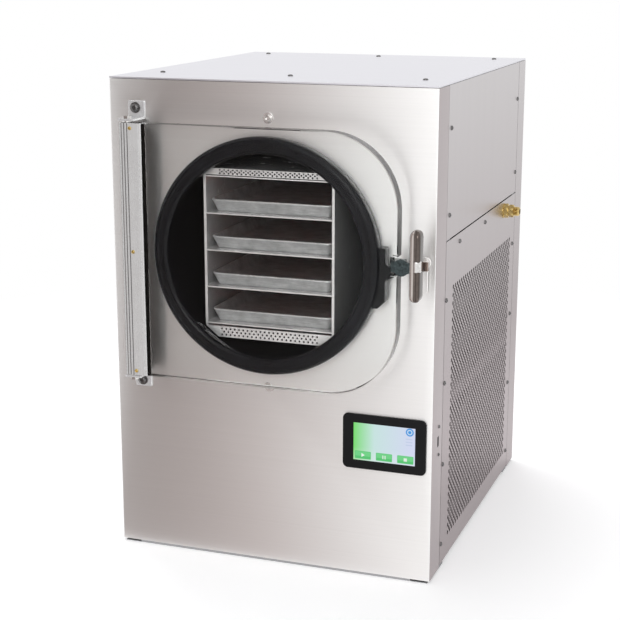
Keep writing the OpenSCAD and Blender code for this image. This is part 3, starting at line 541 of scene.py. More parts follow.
def turned(profile, centre, along, segments=48):
    """Rings for turned work: profile (n, 2) is radius by distance along an axis, and each of its points is
    carried round the axis through centre."""
    along = np.asarray(along, float)
    side = np.cross(along, (0.0, 0.0, 1.0) if abs(along[2]) < 0.9 else (1.0, 0.0, 0.0))
    side /= np.linalg.norm(side)
    up = np.cross(along, side)
    turn = np.linspace(0, 2*math.pi, segments, endpoint=False)[None, :, None]
    radius, height = profile[:, 0, None, None], profile[:, 1, None, None]
    return np.asarray(centre) + height*along + radius*(np.cos(turn)*side + np.sin(turn)*up)


print("surfaces can be made")

# %% [markdown]
# ## Copies with eased edges
#
# No real edge is perfectly sharp: a folded sheet, a casting or a milled block catches the light along its
# edges. The CAD meshes are loose triangles, which can't be bevelled, and they are never changed. So a copy is
# made, its triangles are welded, flat areas are joined into single faces, and a Bevel modifier rounds what is
# left. The copy stands for its node.

# %% Eased copies
SHARP_DEG = 38.0


def eased(node, material, width):
    """A welded copy of a CAD node with its edges rounded to a width."""
    work = bmesh.new()
    work.from_mesh(nodes[node].data)
    bmesh.ops.remove_doubles(work, verts=work.verts, dist=2e-6)
    bmesh.ops.dissolve_limit(work, angle_limit=math.radians(0.4), verts=work.verts, edges=work.edges)
    name = node + "_finished"
    made = stands_for(node, name, closed(bpy.data.meshes.new(name), work, name, material, SHARP_DEG))
    bevel = made.modifiers.new("eased edges", "BEVEL")
    bevel.width = width
    bevel.segments = 2
    bevel.limit_method = "ANGLE"
    bevel.angle_limit = math.radians(SHARP_DEG)
    bevel.harden_normals = True


for material, width, names in (
        (front_steel, 0.35*MM, "front_panel"), (lid_steel, 0.35*MM, "top_panel"),
        (side_steel, 0.3*MM, "rear_panel right_upper_panel left_upper_panel"),
        (bright_steel, 0.4*MM, "hinge_pins flange_bolts"), (bezel_plastic, 0.8*MM, "screen_bezel"),
        (black_plastic, 0.3*MM, "usb_port"), (black_plastic, 0.5*MM, "power_inlet"),
        (red_plastic, 0.6*MM, "power_rocker"), (black_plastic, 0.5*MM, "pump_outlet"),
        (red_plastic, 0.5*MM, "drain_lever"), (brass, 0.3*MM, "drain_valve"),
        (rack_metal, 0.25*MM, "rack_left_side rack_right_side rack_shelves")):
    for node in names.split():
        eased(node, material, width)
print("edges are eased")

# %% [markdown]
# ## The perforated side sheets
#
# Each lower side is a sheet punched with about two thousand round holes in staggered rows. The holes lie on a
# lattice of diamonds, each with one hole in its middle, and the diamonds fill the field without a gap. So one
# diamond with its round hole is worked out as a formula, and repeated at every place of the lattice. What is
# left between the field's zigzag edge and the sheet's straight edge is filled flat, and a Solidify modifier
# gives the sheet its thickness.

# %% Perforated sheets
HOLE_R = 3.5*MM
HOLE_SIDES = 12
FIELD_LOW = np.array([40.5, 29.0])*MM
FIELD_HIGH = np.array([29.5, 68.5])*MM
FIELD_HOLES = (32, 32)
ELBOW_R = 6.5*MM


def diamond_with_hole(half_width, half_height):
    """Rings (2, sides, 2) round the origin: the hole, at a constant radius, and the diamond. Each straight
    side of the diamond is cut into equal parts, so that its points meet those of the diamond beside it."""
    turn = np.arange(HOLE_SIDES)*2*math.pi/HOLE_SIDES
    hole = HOLE_R*np.stack([np.cos(turn), np.sin(turn)], axis=-1)
    corners = np.array([[half_width, 0.0], [0.0, half_height], [-half_width, 0.0], [0.0, -half_height]])
    share = (np.arange(HOLE_SIDES//4)*4/HOLE_SIDES)[None, :, None]
    sides = corners[:, None] + share*(np.roll(corners, -1, axis=0) - corners)[:, None]
    return np.stack([hole, sides.reshape(-1, 2)])


def lattice(low, high, holes):
    """Centres (n, 2) of a staggered lattice: the second half of them is moved by half a step each way."""
    step = (np.asarray(high) - low)/holes
    first, second = (np.stack(np.meshgrid(*(np.arange(count - fewer) for count in holes), indexing="ij"), -1)
                     .reshape(-1, 2) for fewer in (0, 1))
    return np.concatenate([low + (first + 0.5)*step, low + (second + 1.0)*step]), step


def perforated(node, side, pipe_centre, pipe_radius):
    """A flat punched sheet in the outline of its CAD node. side is 1 on the right and -1 on the left."""
    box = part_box(node)
    outer_face = box[1].x if side > 0 else box[0].x
    low, high = (np.array(corner)[1:] for corner in box)
    centres, step = lattice(low + FIELD_LOW, high - FIELD_HIGH, FIELD_HOLES)
    flat = (centres[:, None, None, :] + diamond_with_hole(*(step/2))).reshape(-1, 2)
    first = np.arange(len(centres))[:, None]*2*HOLE_SIDES
    faces = (first[:, :, None] + grid(2, HOLE_SIDES)).reshape(-1, 4)
    mesh, work = opened(np.insert(flat, 0, outer_face, axis=1), faces.tolist())
    bmesh.ops.remove_doubles(work, verts=work.verts, dist=1e-5)
    hole_edge = HOLE_R*2*math.sin(math.pi/HOLE_SIDES)*1.01
    rim = [e for e in work.edges if e.is_boundary and e.calc_length() > hole_edge]
    outline = [(low[0], low[1]), (high[0], low[1]), (high[0], high[1]), (low[0], high[1])]
    for loop in (outline, arc(pipe_centre, pipe_radius, 0, 360, 33)[:-1]):
        corners = [work.verts.new((outer_face, y, z)) for y, z in loop]
        rim += [work.edges.new((a, b)) for a, b in zip(corners, corners[1:] + corners[:1])]
    bmesh.ops.triangle_fill(work, use_beauty=True, edges=rim)
    for face in work.faces:
        if face.normal.x*side < 0:
            face.normal_flip()
    name = node + "_punched"
    made = stands_for(node, name, closed(mesh, work, name, side_steel))
    wall = made.modifiers.new("sheet thickness", "SOLIDIFY")
    wall.thickness = box[1].x - box[0].x
    wall.offset = -1.0
    print(node, len(centres), "holes", len(mesh.polygons), "faces")


fitting = middle("vacuum_fitting")
perforated("right_lower_panel", 1, (fitting.y, fitting.z), 8.2*MM)
perforated("left_lower_panel", -1, (middle("drain_valve").y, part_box("drain_hose")[0].z + ELBOW_R), 7.2*MM)

# %% [markdown]
# ## Screws
#
# The sheets are held by small blackened socket screws. The CAD node is one mesh with every screw in it, so
# the script first finds each separate solid: every corner starts with its own number and takes the lowest
# number in its triangle, again and again, until each solid has one number. A screw's thin side tells which
# way it points. Its head is turned work with a six-sided socket: the radius of a hexagon at an angle t from
# a flat's middle is its half width over cos t.

# %% Socket screws
def solids_of(node):
    """The lowest and highest corners (n, 3) of each separate solid in a node."""
    mesh = nodes[node].data
    points = np.empty(len(mesh.vertices)*3)
    mesh.vertices.foreach_get("co", points)
    points = points.reshape(-1, 3)
    corners = np.empty(len(mesh.loops), int)
    mesh.loops.foreach_get("vertex_index", corners)
    place = np.unique(np.round(points, 6), axis=0, return_inverse=True)[1].ravel()
    triangles = place[corners].reshape(-1, 3)
    number = np.arange(place.max() + 1)
    while True:
        lowest = number.copy()
        np.minimum.at(lowest, triangles, number[triangles].min(axis=1)[:, None])
        if (lowest == number).all():
            break
        number = lowest
    groups = [points[number[place] == one] for one in np.unique(number[place])]
    return np.array([g.min(axis=0) for g in groups]), np.array([g.max(axis=0) for g in groups])


def hexagon(segments, flat_r):
    """Radius at each of so many angles of a hexagon with flats at flat_r from its centre."""
    turn = np.arange(segments)*2*math.pi/segments
    return flat_r/np.cos((turn + math.pi/6) % (math.pi/3) - math.pi/6)


SOCKET_SHARE = 0.40
SOCKET_FLOOR = 0.35


def socket_head(base, along, radius, height, segments=24):
    """A button head with a hexagon socket, standing on base."""
    rim = np.array([[1.0, -0.05], [1.0, 0.30], [0.93, 0.62], [0.80, 0.86], [0.62, 0.98], [0.50, 1.0]])
    rings = turned(rim*(radius, height), base, along, segments)
    socket = hexagon(segments, SOCKET_SHARE*radius)
    unit = turned(np.array([[1.0, 0.0]]), (0, 0, 0), along, segments)[0]
    across = np.asarray(base) + socket[:, None]*unit
    inner = np.stack([across + height*share*np.asarray(along) for share in (1.0, SOCKET_FLOOR)])
    return shell(np.concatenate([rings, inner]))


def screw_heads(node, shift=(0.0, 0.0, 0.0)):
    """One head for each solid of a node, moved by shift, pointing the way its thin side does, away from
    the middle."""
    heads = []
    for low, high in zip(*solids_of(node)):
        size = high - low
        thin = int(np.argmin(size))
        centre = (low + high)/2
        along = np.zeros(3)
        along[thin] = 1.0 if thin == 2 else math.copysign(1.0, centre[thin])
        base = centre - along*size[thin]/2 + shift
        heads.append(socket_head(base, along, np.median(size)/2, size[thin]))
    print(node, len(heads), "heads")
    return together(*heads)


piece("panel_screw_heads", screw_heads("panel_screws"), "panel_screws", dark_steel)
piece("rail_screw_heads", screw_heads("rail_screws", (-5.4*MM, 0.0, 0.0)), "rail_screws", brass)

# %% [markdown]
# ## The door gasket
#
# A moulded rubber ring of U section is pressed over the chamber's rim. Its front face has a fat rounded
# nose, a thin raised bead that the door touches first, and a lip that rolls into the chamber. These small
# rounds are what draw the long thin highlights, so the section is drawn carefully and turned about the
# chamber's axis.

# %% Gasket
gasket_low, gasket_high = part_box("door_gasket")
axis_z = sum(corner.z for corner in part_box("door_gasket"))/2
GASKET_R = (gasket_high.x - gasket_low.x)/2
DRUM_R = 152.4*MM
DRUM_WALL = 3.0*MM
gasket_face = gasket_low.y
FRONT_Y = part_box("front_panel")[0].y


def gasket_section():
    """(radius, y) round the section, from the panel over the nose, the bead and the lip, into the bore."""
    nose, lip, bead = 8.0*MM, 6.4*MM, 1.1*MM
    bead_r, heel_r = GASKET_R - 9.4*MM, 3.2*MM
    shelf = gasket_face + 0.9*MM
    outside, bore, back_y = DRUM_R + DRUM_WALL + 0.3*MM, DRUM_R - 0.3*MM, FRONT_Y - 15.4*MM
    return np.concatenate([
        [[outside, FRONT_Y], [GASKET_R - heel_r, FRONT_Y]],
        arc((GASKET_R - heel_r, FRONT_Y - heel_r), heel_r, 90, 0, 5),
        arc((GASKET_R - nose, shelf + nose), nose, 0, -78, 14),
        arc((bead_r, gasket_face + bead), bead, 0, -180, 9),
        [[bead_r - 2.4*MM, shelf + 0.5*MM], [DRUM_R + 5.2*MM, shelf + 0.5*MM]],
        arc((DRUM_R + 3.8*MM, shelf + 0.3*MM + lip), lip, -72, -180, 12),
        [[DRUM_R - 2.8*MM, FRONT_Y - 5*MM], [bore, FRONT_Y - 4*MM], [bore, back_y], [outside, back_y]]])


def turned_ring(section, segments):
    """A ring about the chamber's axis: each (radius, y) of the section goes round the axis."""
    turn = np.linspace(0, 2*math.pi, segments, endpoint=False)[None, :]
    radius, y = section[:, 0, None], section[:, 1, None]
    return np.stack([radius*np.cos(turn), y + 0*turn, axis_z + radius*np.sin(turn)], axis=-1)


piece("gasket_ring", hoop(turned_ring(gasket_section(), 240)), "door_gasket", rubber, sharp_deg=50)
print("gasket", round(2000*GASKET_R, 1), "mm across")

# %% [markdown]
# ## The clear door
#
# The plate is cut from thick acrylic, and its long edge is polished with a small chamfer. Its outline is
# three straight runs, two big round corners, and a notch that the latch passes. The edge is a stack of
# copies of that outline: each is moved inwards along the outline's own normals by as much as the chamfer
# says.

# %% Door plate
def inwards(outline, distance):
    """The outline moved in by a distance, each point along the mitre of its two runs."""
    before = outline - np.roll(outline, 1, axis=0)
    after = np.roll(outline, -1, axis=0) - outline
    normals = []
    for run in (before, after):
        run = run/np.linalg.norm(run, axis=1, keepdims=True)
        normals.append(np.stack([-run[:, 1], run[:, 0]], axis=-1))
    mitre = normals[0] + normals[1]
    mitre /= (normals[0]*mitre).sum(axis=1, keepdims=True)
    return outline + distance*mitre


def plate(outline, front, back, ease):
    """A plate in the XZ plane from y = front to y = back, with chamfered edges. The outline runs
    anticlockwise as seen from the front, and each ring is (inset, y)."""
    rings = [(ease, front), (0.0, front + ease), (0.0, back - ease), (ease, back)]
    shaped = []
    for inset, y in rings:
        flat = inwards(outline, inset)
        shaped.append(np.stack([flat[:, 0], np.full(len(flat), y), flat[:, 1]], axis=-1))
    return shell(np.stack(shaped))


door_low, door_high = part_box("door_plate")
CORNER_R = 108*MM
DOOR_EASE = 1.0*MM
NOTCH = (9.7*MM, 27*MM)
notch_middle = middle("latch_shaft").z - 1*MM
right, top, bottom = door_high.x, door_high.z, door_low.z
inner = right - CORNER_R
door_outline = np.concatenate([
    [[door_low.x, bottom]],
    arc((inner, bottom + CORNER_R), CORNER_R, -90, 0, 64),
    [[right, notch_middle - NOTCH[1]/2], [right - NOTCH[0], notch_middle - NOTCH[1]/2],
     [right - NOTCH[0], notch_middle + NOTCH[1]/2], [right, notch_middle + NOTCH[1]/2]],
    arc((inner, top - CORNER_R), CORNER_R, 0, 90, 64),
    [[door_low.x, top]]])
piece("clear_door", plate(door_outline, door_low.y, door_high.y, DOOR_EASE), "door_plate", acrylic,
      sharp_deg=20)
print("door", round(1000*(top - bottom)), "mm high,", round(1000*(door_high.y - door_low.y)), "mm thick")

# %% [markdown]
# ## The hinge rail
#
# The rail is an aluminium extrusion: one section, drawn along the whole height of the door. The section has a
# slot that grips the plate, a bore for the pivots and a hollow that saves metal. Grooves and a step run along
# its face. Each edge of the section is a closed line. The walls are that line drawn upwards, and the ends are
# filled between all the lines at once, which leaves the bore and the hollow open.

# %% Rail
rail_low, rail_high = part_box("hinge_rail")
BORE_R = 4.05*MM


def rail_edges():
    """Closed lines (n, 2) in x and y: the outside with the slot, the bore and the hollow."""
    left, right = RAIL_LEFT, RAIL_RIGHT
    front, back = rail_low.y, rail_high.y
    round_r, ease, step = 2.4*MM, 0.5*MM, (3.8*MM, 0.6*MM)
    grooves = []
    for x in (left + 8.5*MM, left + 13.2*MM):
        grooves += [[x - 0.6*MM, front], [x - 0.3*MM, front + 0.75*MM], [x + 0.3*MM, front + 0.75*MM],
                    [x + 0.6*MM, front]]
    outside = np.concatenate([
        arc((left + round_r, front + round_r), round_r, 180, 270, 9), grooves,
        [[right - step[0] - 0.3*MM, front], [right - step[0], front + step[1]]],
        arc((right - ease, front + step[1] + ease), ease, -90, 0, 4),
        [[right, door_low.y], [door_low.x, door_low.y], [door_low.x, door_high.y], [right, door_high.y]],
        arc((right - ease, back - ease), ease, 0, 90, 4), arc((left + ease, back - ease), ease, 90, 180, 4)])
    hollow = np.array([[3.0, 2.6], [12.0, 2.6], [12.0, 6.6], [3.0, 6.6]])*MM + (left, front)
    return [outside, arc((pin.x, pin.y), BORE_R, 0, 360, 41)[:-1], hollow]


def extruded(edges, low, high):
    """Points and faces of a section drawn from z = low to z = high, with its ends filled between the
    edges."""
    walls = []
    for edge in edges:
        ring = np.stack([np.column_stack([edge, np.full(len(edge), z)]) for z in (low, high)])
        walls.append((ring.reshape(-1, 3), grid(2, len(edge)).tolist()))
    mesh, work = opened(*together(*walls))
    for z in (low, high):
        rim = [e for e in work.edges if e.is_boundary and abs(e.verts[0].co.z - z) < 1e-5]
        bmesh.ops.triangle_fill(work, use_beauty=True, edges=rim)
    closed(mesh, work, "section")
    return [v.co[:] for v in mesh.vertices], [list(f.vertices) for f in mesh.polygons]


piece("rail_extrusion", extruded(rail_edges(), rail_low.z, rail_high.z), "hinge_rail", rail_metal,
      sharp_deg=24)
print("rail", round(1000*(rail_high.z - rail_low.z)), "mm long")

# %% [markdown]
# ## The hinge brackets
#
# A bracket is one strip of thick plate, bent once. Its upright leg lies on the front and is held by a bolt,
# and its level leg holds the pivot. The lower bracket is the upper one turned over.

# %% Brackets
STRIP_W, STRIP_T = 26*MM, 3*MM
STRIP_EASE = 0.5*MM
LEG_CORNER_R = 1.5*MM
LEG_FRONT = FRONT_Y - 38*MM
LEG_GAP = 2.5*MM
LEG_MIDDLE, BOLT_UP = 15.5*MM, 18.5*MM
strip_x = pin.x + 0.5*MM


def rounded_rectangle(half_w, half_l, radius, corner_points=9):
    """Points (n, 2) round a rectangle with round corners, anticlockwise."""
    corners = ((1, -1, -90), (1, 1, 0), (-1, 1, 90), (-1, -1, 180))
    return np.concatenate([
        arc((sx*(half_w - radius), sy*(half_l - radius)), radius, start, start + 90, corner_points)
        for sx, sy, start in corners])


def bracket(end, way):
    """The strip at one end of the rail, at height end. way is 1 at the top and -1 at the bottom."""
    upright = rounded_rectangle(STRIP_W/2, STRIP_W/2, LEG_CORNER_R) + (strip_x, end + way*LEG_MIDDLE)
    level = rounded_rectangle(STRIP_W/2, (FRONT_Y - LEG_FRONT)/2, LEG_CORNER_R)
    level += (strip_x, (FRONT_Y + LEG_FRONT)/2)
    bottom, top = sorted((end + way*LEG_GAP, end + way*LEG_GAP + way*STRIP_T))
    return together(plate(upright, FRONT_Y - STRIP_T, FRONT_Y, STRIP_EASE), extruded([level], bottom, top))


def bolt(end, way):
    """A washer and a head with a socket."""
    place = np.array((pin.x - 0.5*MM, FRONT_Y - STRIP_T, end + way*BOLT_UP))
    outwards = (0.0, -1.0, 0.0)
    washer = turned(np.array([[8.0, 0.0], [8.0, 1.0], [7.8, 1.2]])*MM, place, outwards, 48)
    return together(shell(washer), socket_head(place - (0.0, 1.2*MM, 0.0), outwards, 6*MM, 4*MM, 48))


ends = ((rail_high.z, 1), (rail_low.z, -1))
piece("bent_brackets", together(*[bracket(*each) for each in ends]), "hinge_brackets", zinc, sharp_deg=35)
piece("bracket_bolt_heads", together(*[bolt(*each) for each in ends]), "bracket_bolts", dark_steel,
      sharp_deg=35)
print("brackets are bent")

# %% [markdown]
# ## The latch handle
#
# The handle is a cast nickel blade, deeper than it is wide. Its section is a rounded rectangle with one
# groove in the front face, and the blade closes at both ends as a quarter ellipse does: the section shrinks
# by the blade's own end radius less the height of that ellipse. A bright steel bead stands at the front
# edge, half way up. It is turned work: a short post with rounded ends. The handle's shaft turns in a clamp,
# whose round end lies over the notch of the door plate and whose block is seated in that notch.

# %% Handle
handle_front = handle_low.y
pivot = middle("latch_shaft")
boss = (pivot.x, pivot.z)
BLADE_W, BLADE_D, BLADE_CORNER_R, BLADE_END = 15*MM, 23*MM, 4*MM, 10*MM
BLADE_LOW, BLADE_HIGH = pivot.z - 44.5*MM, pivot.z + 56*MM
GROOVE = np.array([[0.9, 0.0], [1.4, 0.55], [1.8, 0.75], [2.2, 0.55], [2.7, 0.0]])*MM
BEAD_R, BEAD_HALF, BEAD_EASE = 6.6*MM, 8*MM, 2*MM
SHAFT_R = 5*MM
LOBE_R, BOSS_R, LOBE_LEFT = 12*MM, 9*MM, 24*MM
BLOCK_HALF_W, BLOCK_HALF_H = 8.6*MM, 8*MM
HOOK_BOSS_R, HOOK_HALF_W = 8*MM, 4*MM


def blade(low, high, rows=40):
    """Rings of the blade along z. Near each end the half sizes shrink by end*(1 - sqrt(1 - t^2)), where t
    goes from 0 at the start of the round to 1 at the tip."""
    front = np.column_stack([GROOVE[:, 0], GROOVE[:, 1] - BLADE_D/2])
    section = np.concatenate([rounded_rectangle(BLADE_W/2, BLADE_D/2, BLADE_CORNER_R), front])
    half_l = (high - low)/2
    height = half_l*np.sin(np.linspace(-1, 1, rows)*math.pi/2)
    t = np.clip((np.abs(height) - half_l + BLADE_END)/BLADE_END, 0, 1)
    lost = BLADE_END*(1 - np.sqrt(1 - t**2))
    across = np.maximum(1 - 0.75*lost/(BLADE_W/2)*0.85, 0.12)
    deep = 1 - 0.9*lost/(BLADE_D/2)
    return np.stack([section[None, :, 0]*across[:, None], section[None, :, 1]*deep[:, None],
                     (low + high)/2 + height[:, None] + 0*section[None, :, 0]], axis=-1)


blade_middle = (pivot.x + 1.5*MM, handle_front + BLADE_D/2 - 1*MM, 0.0)
piece("handle_blade", shell(blade(BLADE_LOW, BLADE_HIGH) + blade_middle), "latch_handle", nickel,
      sharp_deg=35)
bead_place = (pivot.x + 3.5*MM, handle_front - 1.6*MM + BEAD_R, pivot.z + 6.5*MM)
bead_ease = (BEAD_R - BEAD_EASE, BEAD_HALF - BEAD_EASE)
bead_profile = np.concatenate([
    [[0.0, -BEAD_HALF]], arc((bead_ease[0], -bead_ease[1]), BEAD_EASE, -90, 0, 6),
    arc(bead_ease, BEAD_EASE, 0, 90, 6), [[0.0, BEAD_HALF]]])
piece("handle_bead", shell(turned(bead_profile, bead_place, (0.0, 0.0, 1.0), 40)), "latch_handle",
      bright_steel, sharp_deg=40)
shaft = np.array([[SHAFT_R, handle_front + 6*MM], [SHAFT_R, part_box("latch_hook")[1].y]])
piece("turned_shaft", shell(turned(shaft, (pivot.x, 0.0, pivot.z), (0.0, 1.0, 0.0), 48)), "latch_shaft",
      bright_steel)

pawl = np.concatenate([arc((pivot.x - LOBE_LEFT, notch_middle), LOBE_R, 42, 318, 48),
                       arc(boss, BOSS_R, 231, 489, 36)])
block = rounded_rectangle(BLOCK_HALF_W, BLOCK_HALF_H, 1*MM)
block += (right - NOTCH[0] + BLOCK_HALF_W, notch_middle)
stub = rounded_rectangle(5*MM, 6.5*MM, 1.5*MM) + (pivot.x + 9.5*MM, pivot.z + 3*MM)
piece("latch_clamp", together(plate(pawl, door_low.y - 5.5*MM, door_low.y - 0.3*MM, 0.8*MM),
                              plate(block, door_low.y - 1*MM, door_high.y, 0.5*MM)),
      "latch_bracket", gunmetal)
hook_low, hook_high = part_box("latch_hook")
hook = np.concatenate([arc(boss, HOOK_BOSS_R, -60, 240, 40),
                       arc((pivot.x, hook_low.z + HOOK_HALF_W), HOOK_HALF_W, 180, 360, 14)])
piece("swing_hook", plate(hook, hook_low.y, hook_high.y, 0.4*MM), "latch_hook", front_steel)
piece("clamp_stub", plate(stub, door_low.y - 5.2*MM, door_low.y - 0.6*MM, 0.8*MM), "latch_bracket",
      stub_metal)
print("handle", round(1000*(BLADE_HIGH - BLADE_LOW)), "mm long")

# %% [markdown]
# ## Pieces cut from sheet and block
#
# The keeper, the heater mats and the rack's perforated guards are flat outlines given a thickness. A guard is
# a sheet folded back at its narrow edge. Its holes stand in three rows, every other row half a pitch along.

# %% Flat pieces
def along_y(edges, front, back):
    """A section in x and z drawn from y = front to y = back."""
    points, faces = extruded(edges, front, back)
    return [(x, y, z) for x, z, y in points], faces


KEEPER_HOLLOW_R = 174.6*MM
KEEPER_REACH, KEEPER_CUT = 183*MM, 11*MM
NOSE = np.array([[176, -14], [181, -14], [196, -7], [196, 2], [181, 13], [176, 15]])*MM
NOSE_DOWN = 13*MM
gasket_middle = middle("door_gasket")
keeper_low, keeper_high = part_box("keeper_block")
hollow_angles = [math.degrees(math.asin((z - gasket_middle.z)/KEEPER_HOLLOW_R)) for z in
                 (keeper_high.z, keeper_low.z)]
keeper_right = gasket_middle.x + KEEPER_REACH
keeper = np.concatenate([
    [[keeper_right - KEEPER_CUT, keeper_low.z], [keeper_right, keeper_low.z + KEEPER_CUT],
     [keeper_right, keeper_high.z]],
    arc((gasket_middle.x, gasket_middle.z), KEEPER_HOLLOW_R, *hollow_angles, 24)])
piece("keeper", together(plate(keeper, FRONT_Y - 18*MM, FRONT_Y, 1*MM),
                         plate(NOSE + (0.0, pivot.z - NOSE_DOWN), FRONT_Y - 17*MM, FRONT_Y - 9.5*MM, 1*MM)),
      "keeper_block", keeper_black)

MAT_T, MAT_HALF_W, MAT_CORNER_R = 2.5*MM, 94*MM, 4*MM
MAT_SETBACK = 15*MM
mats_low, mats_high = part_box("heater_mats")
mat = rounded_rectangle(MAT_HALF_W, (mats_high.y - mats_low.y - MAT_SETBACK)/2, MAT_CORNER_R)
mat += (0.0, (mats_high.y + mats_low.y + MAT_SETBACK)/2)
piece("heater_pads", together(*[extruded([mat], z, z + MAT_T) for z in
                                np.linspace(mats_low.z, mats_high.z - MAT_T, 5)]),
      "heater_mats", heater_red)

GUARD_T, GUARD_FOLD = 1.4*MM, (2.5*MM, 0.7*MM)
GUARD_HOLE_R, GUARD_PITCH = 1.5*MM, 6.8*MM
GUARD_EACH_SIDE = 11
FIRST_ROW, ROW_STEP = 0.24, 0.27


def guard(node, narrow_z, half_w):
    """A perforated front and the sheet behind it, folded at the narrow edge."""
    low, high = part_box(node)
    wide_z = low.z if narrow_z > (low.z + high.z)/2 else high.z
    rise = narrow_z - wide_z
    wide = high.x
    front = np.array([[-wide, wide_z], [-half_w, narrow_z], [half_w, narrow_z], [wide, wide_z]])
    holes = [arc(((i + row % 2/2)*GUARD_PITCH, wide_z + rise*(FIRST_ROW + ROW_STEP*row)),
                 GUARD_HOLE_R, 0, 360, 17)[:-1]
             for row in range(3) for i in range(-GUARD_EACH_SIDE, GUARD_EACH_SIDE + 1 - row % 2)]
    inside_z = narrow_z - math.copysign(1.0, rise)*GUARD_T
    fold = np.concatenate([front, [[wide - GUARD_FOLD[0], wide_z], [half_w - GUARD_FOLD[1], inside_z],
                                   [GUARD_FOLD[1] - half_w, inside_z], [GUARD_FOLD[0] - wide, wide_z]]])
    return together(along_y([front] + holes, low.y, low.y + GUARD_T),
                    along_y([fold], low.y + GUARD_T, high.y))


TOP_GUARD = (601*MM, 86.5*MM)
BOTTOM_GUARD = (349*MM, 80*MM)
for node, shape in (("rack_top_guard", TOP_GUARD), ("rack_bottom_guard", BOTTOM_GUARD)):
    piece(node + "_sheet", guard(node, *shape), node, rack_metal)
print("flat pieces are cut")

# %% [markdown]
# ## The trays
#
# A tray is pressed from thin aluminium: its floor turns up into sloping walls through a soft radius, and
# the rim is rolled outwards over a wire. Every level of it is a rounded rectangle, so a tray is one
# profile, drawn from the middle of the floor up the inside, over the rim and back under, carried round that
# rectangle.

# %% Trays
TRAY_CORNER_R = 13*MM
TRAY_HALF_W = 96*MM


def tray_profile(height):
    """(inset, z) from the floor inside, over the rolled rim, to the floor outside. inset is measured inwards
    from the rim's outer edge."""
    wall, slope, floor_r, rim_r, innermost = 0.9*MM, 4.5*MM, 5*MM, 1.6*MM, 40*MM
    rim = (rim_r, height - rim_r)
    lean = math.degrees(math.atan2(slope, height))
    inner_foot = (2*rim_r + slope + floor_r, wall + floor_r)
    outer_foot = (2*rim_r + slope + floor_r, floor_r)
    inside = arc(inner_foot, floor_r, -90, -180 + lean, 7)
    outside = arc(outer_foot, floor_r + 0.6*wall, -180 + lean, -90, 7)
    outside[:, 1] = np.maximum(outside[:, 1], 0.0)
    roll = arc(rim, rim_r, 20, 250, 16)
    return np.concatenate([[[innermost, wall]], inside, roll, outside, [[innermost, 0.0]]])


def tray(node):
    """The profile carried round the rectangle. A corner's radius shrinks by as much as the ring goes in."""
    low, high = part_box(node)
    half_w, half_l = TRAY_HALF_W, (high.y - low.y)/2
    rings = []
    for inset, z in tray_profile(high.z - low.z):
        flat = rounded_rectangle(half_w - inset, half_l - inset, max(TRAY_CORNER_R - inset, 1*MM))
        rings.append(np.column_stack([flat + ((low.x + high.x)/2, (low.y + high.y)/2),
                                      np.full(len(flat), low.z + z)]))
    return shell(np.stack(rings))


for number in range(1, 5):
    piece(f"pressed_tray_{number}", tray(f"tray_{number}"), f"tray_{number}", tray_metal, sharp_deg=50)
print("four trays are pressed")

# %% [markdown]
# ## The vacuum fitting
#
# The fitting is turned from hexagon brass bar: where it keeps the bar's flats it is a nut, and elsewhere it
# is round. At each height the section is the smaller of two radii: the hexagon's and the turning tool's.
# That one rule gives the nuts, their curved chamfers and the round parts. The flare end has a fine thread,
# which is a ripple that climbs by one pitch in a turn.

# %% Brass fitting
THREAD_START, THREAD_END, THREAD_STEP = 17.4, 24.6, 0.18
THREAD_R, THREAD_DEPTH, THREAD_PITCH = 7.5, 0.32, 1.27


def fitting_rings(segments=72):
    """Rings along +x. Each row is (distance, hexagon half width, turned radius), in millimetres, and a half
    width of 0 means round."""
    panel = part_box("right_lower_panel")[1].x
    rows = [(-10, 0, 8), (-0.05, 0, 8), (0.0, 0, 12.4), (1.3, 0, 12.4), (1.5, 0, 12.0), (1.5, 10.4, 11.2),
            (2.1, 10.4, 12.1), (7.6, 10.4, 12.1), (8.3, 10.4, 11.0), (8.3, 0, 8.6), (9.5, 0, 8.6),
            (9.5, 9.2, 9.8), (10.1, 9.2, 10.7), (16.6, 9.2, 10.7), (17.2, 9.2, 9.7), (17.2, 0, 7.3)]
    rings = []
    unit = turned(np.array([[1.0, 0.0]]), (0, 0, 0), (1.0, 0, 0), segments)[0]
    for distance, flat, radius in rows:
        size = np.full(segments, radius*MM) if flat == 0 else np.minimum(
            hexagon(segments, flat*MM), radius*MM)
        rings.append((panel + distance*MM, size))
    turn = np.arange(segments)/segments
    for distance in np.arange(THREAD_START, THREAD_END, THREAD_STEP):
        ripple = THREAD_DEPTH*np.cos(2*math.pi*(distance/THREAD_PITCH - turn))
        rings.append((panel + distance*MM, (THREAD_R + ripple)*MM))
    for distance, radius in ((25, 7.2), (27, 6.2), (27, 4.8), (18, 4.8), (-10, 4.8)):
        rings.append((panel + distance*MM, np.full(segments, radius*MM)))
    offset = np.array([0.0, fitting.y, fitting.z])
    return np.stack([offset + np.array([x, 0, 0]) + size[:, None]*unit for x, size in rings])


piece("turned_fitting", hoop(fitting_rings()), "vacuum_fitting", brass, sharp_deg=32)
print("fitting is turned")

# %% [markdown]
# ## The touch screen
#
# The screen is lit from behind, so its picture is light that it gives off, under a glossy cover. The picture
# is worked out from position alone: a ground that runs from green to pale violet, three buttons with plain
# signs, and a round blue button. A rounded box is drawn by its distance: how far a point is outside a smaller
# box, less the radius of the corners.

# %% Screen picture
BUTTONS = (0.155, 0.5, 0.845)
BUTTON_Z = 0.14
DISC = (0.91, 0.885)


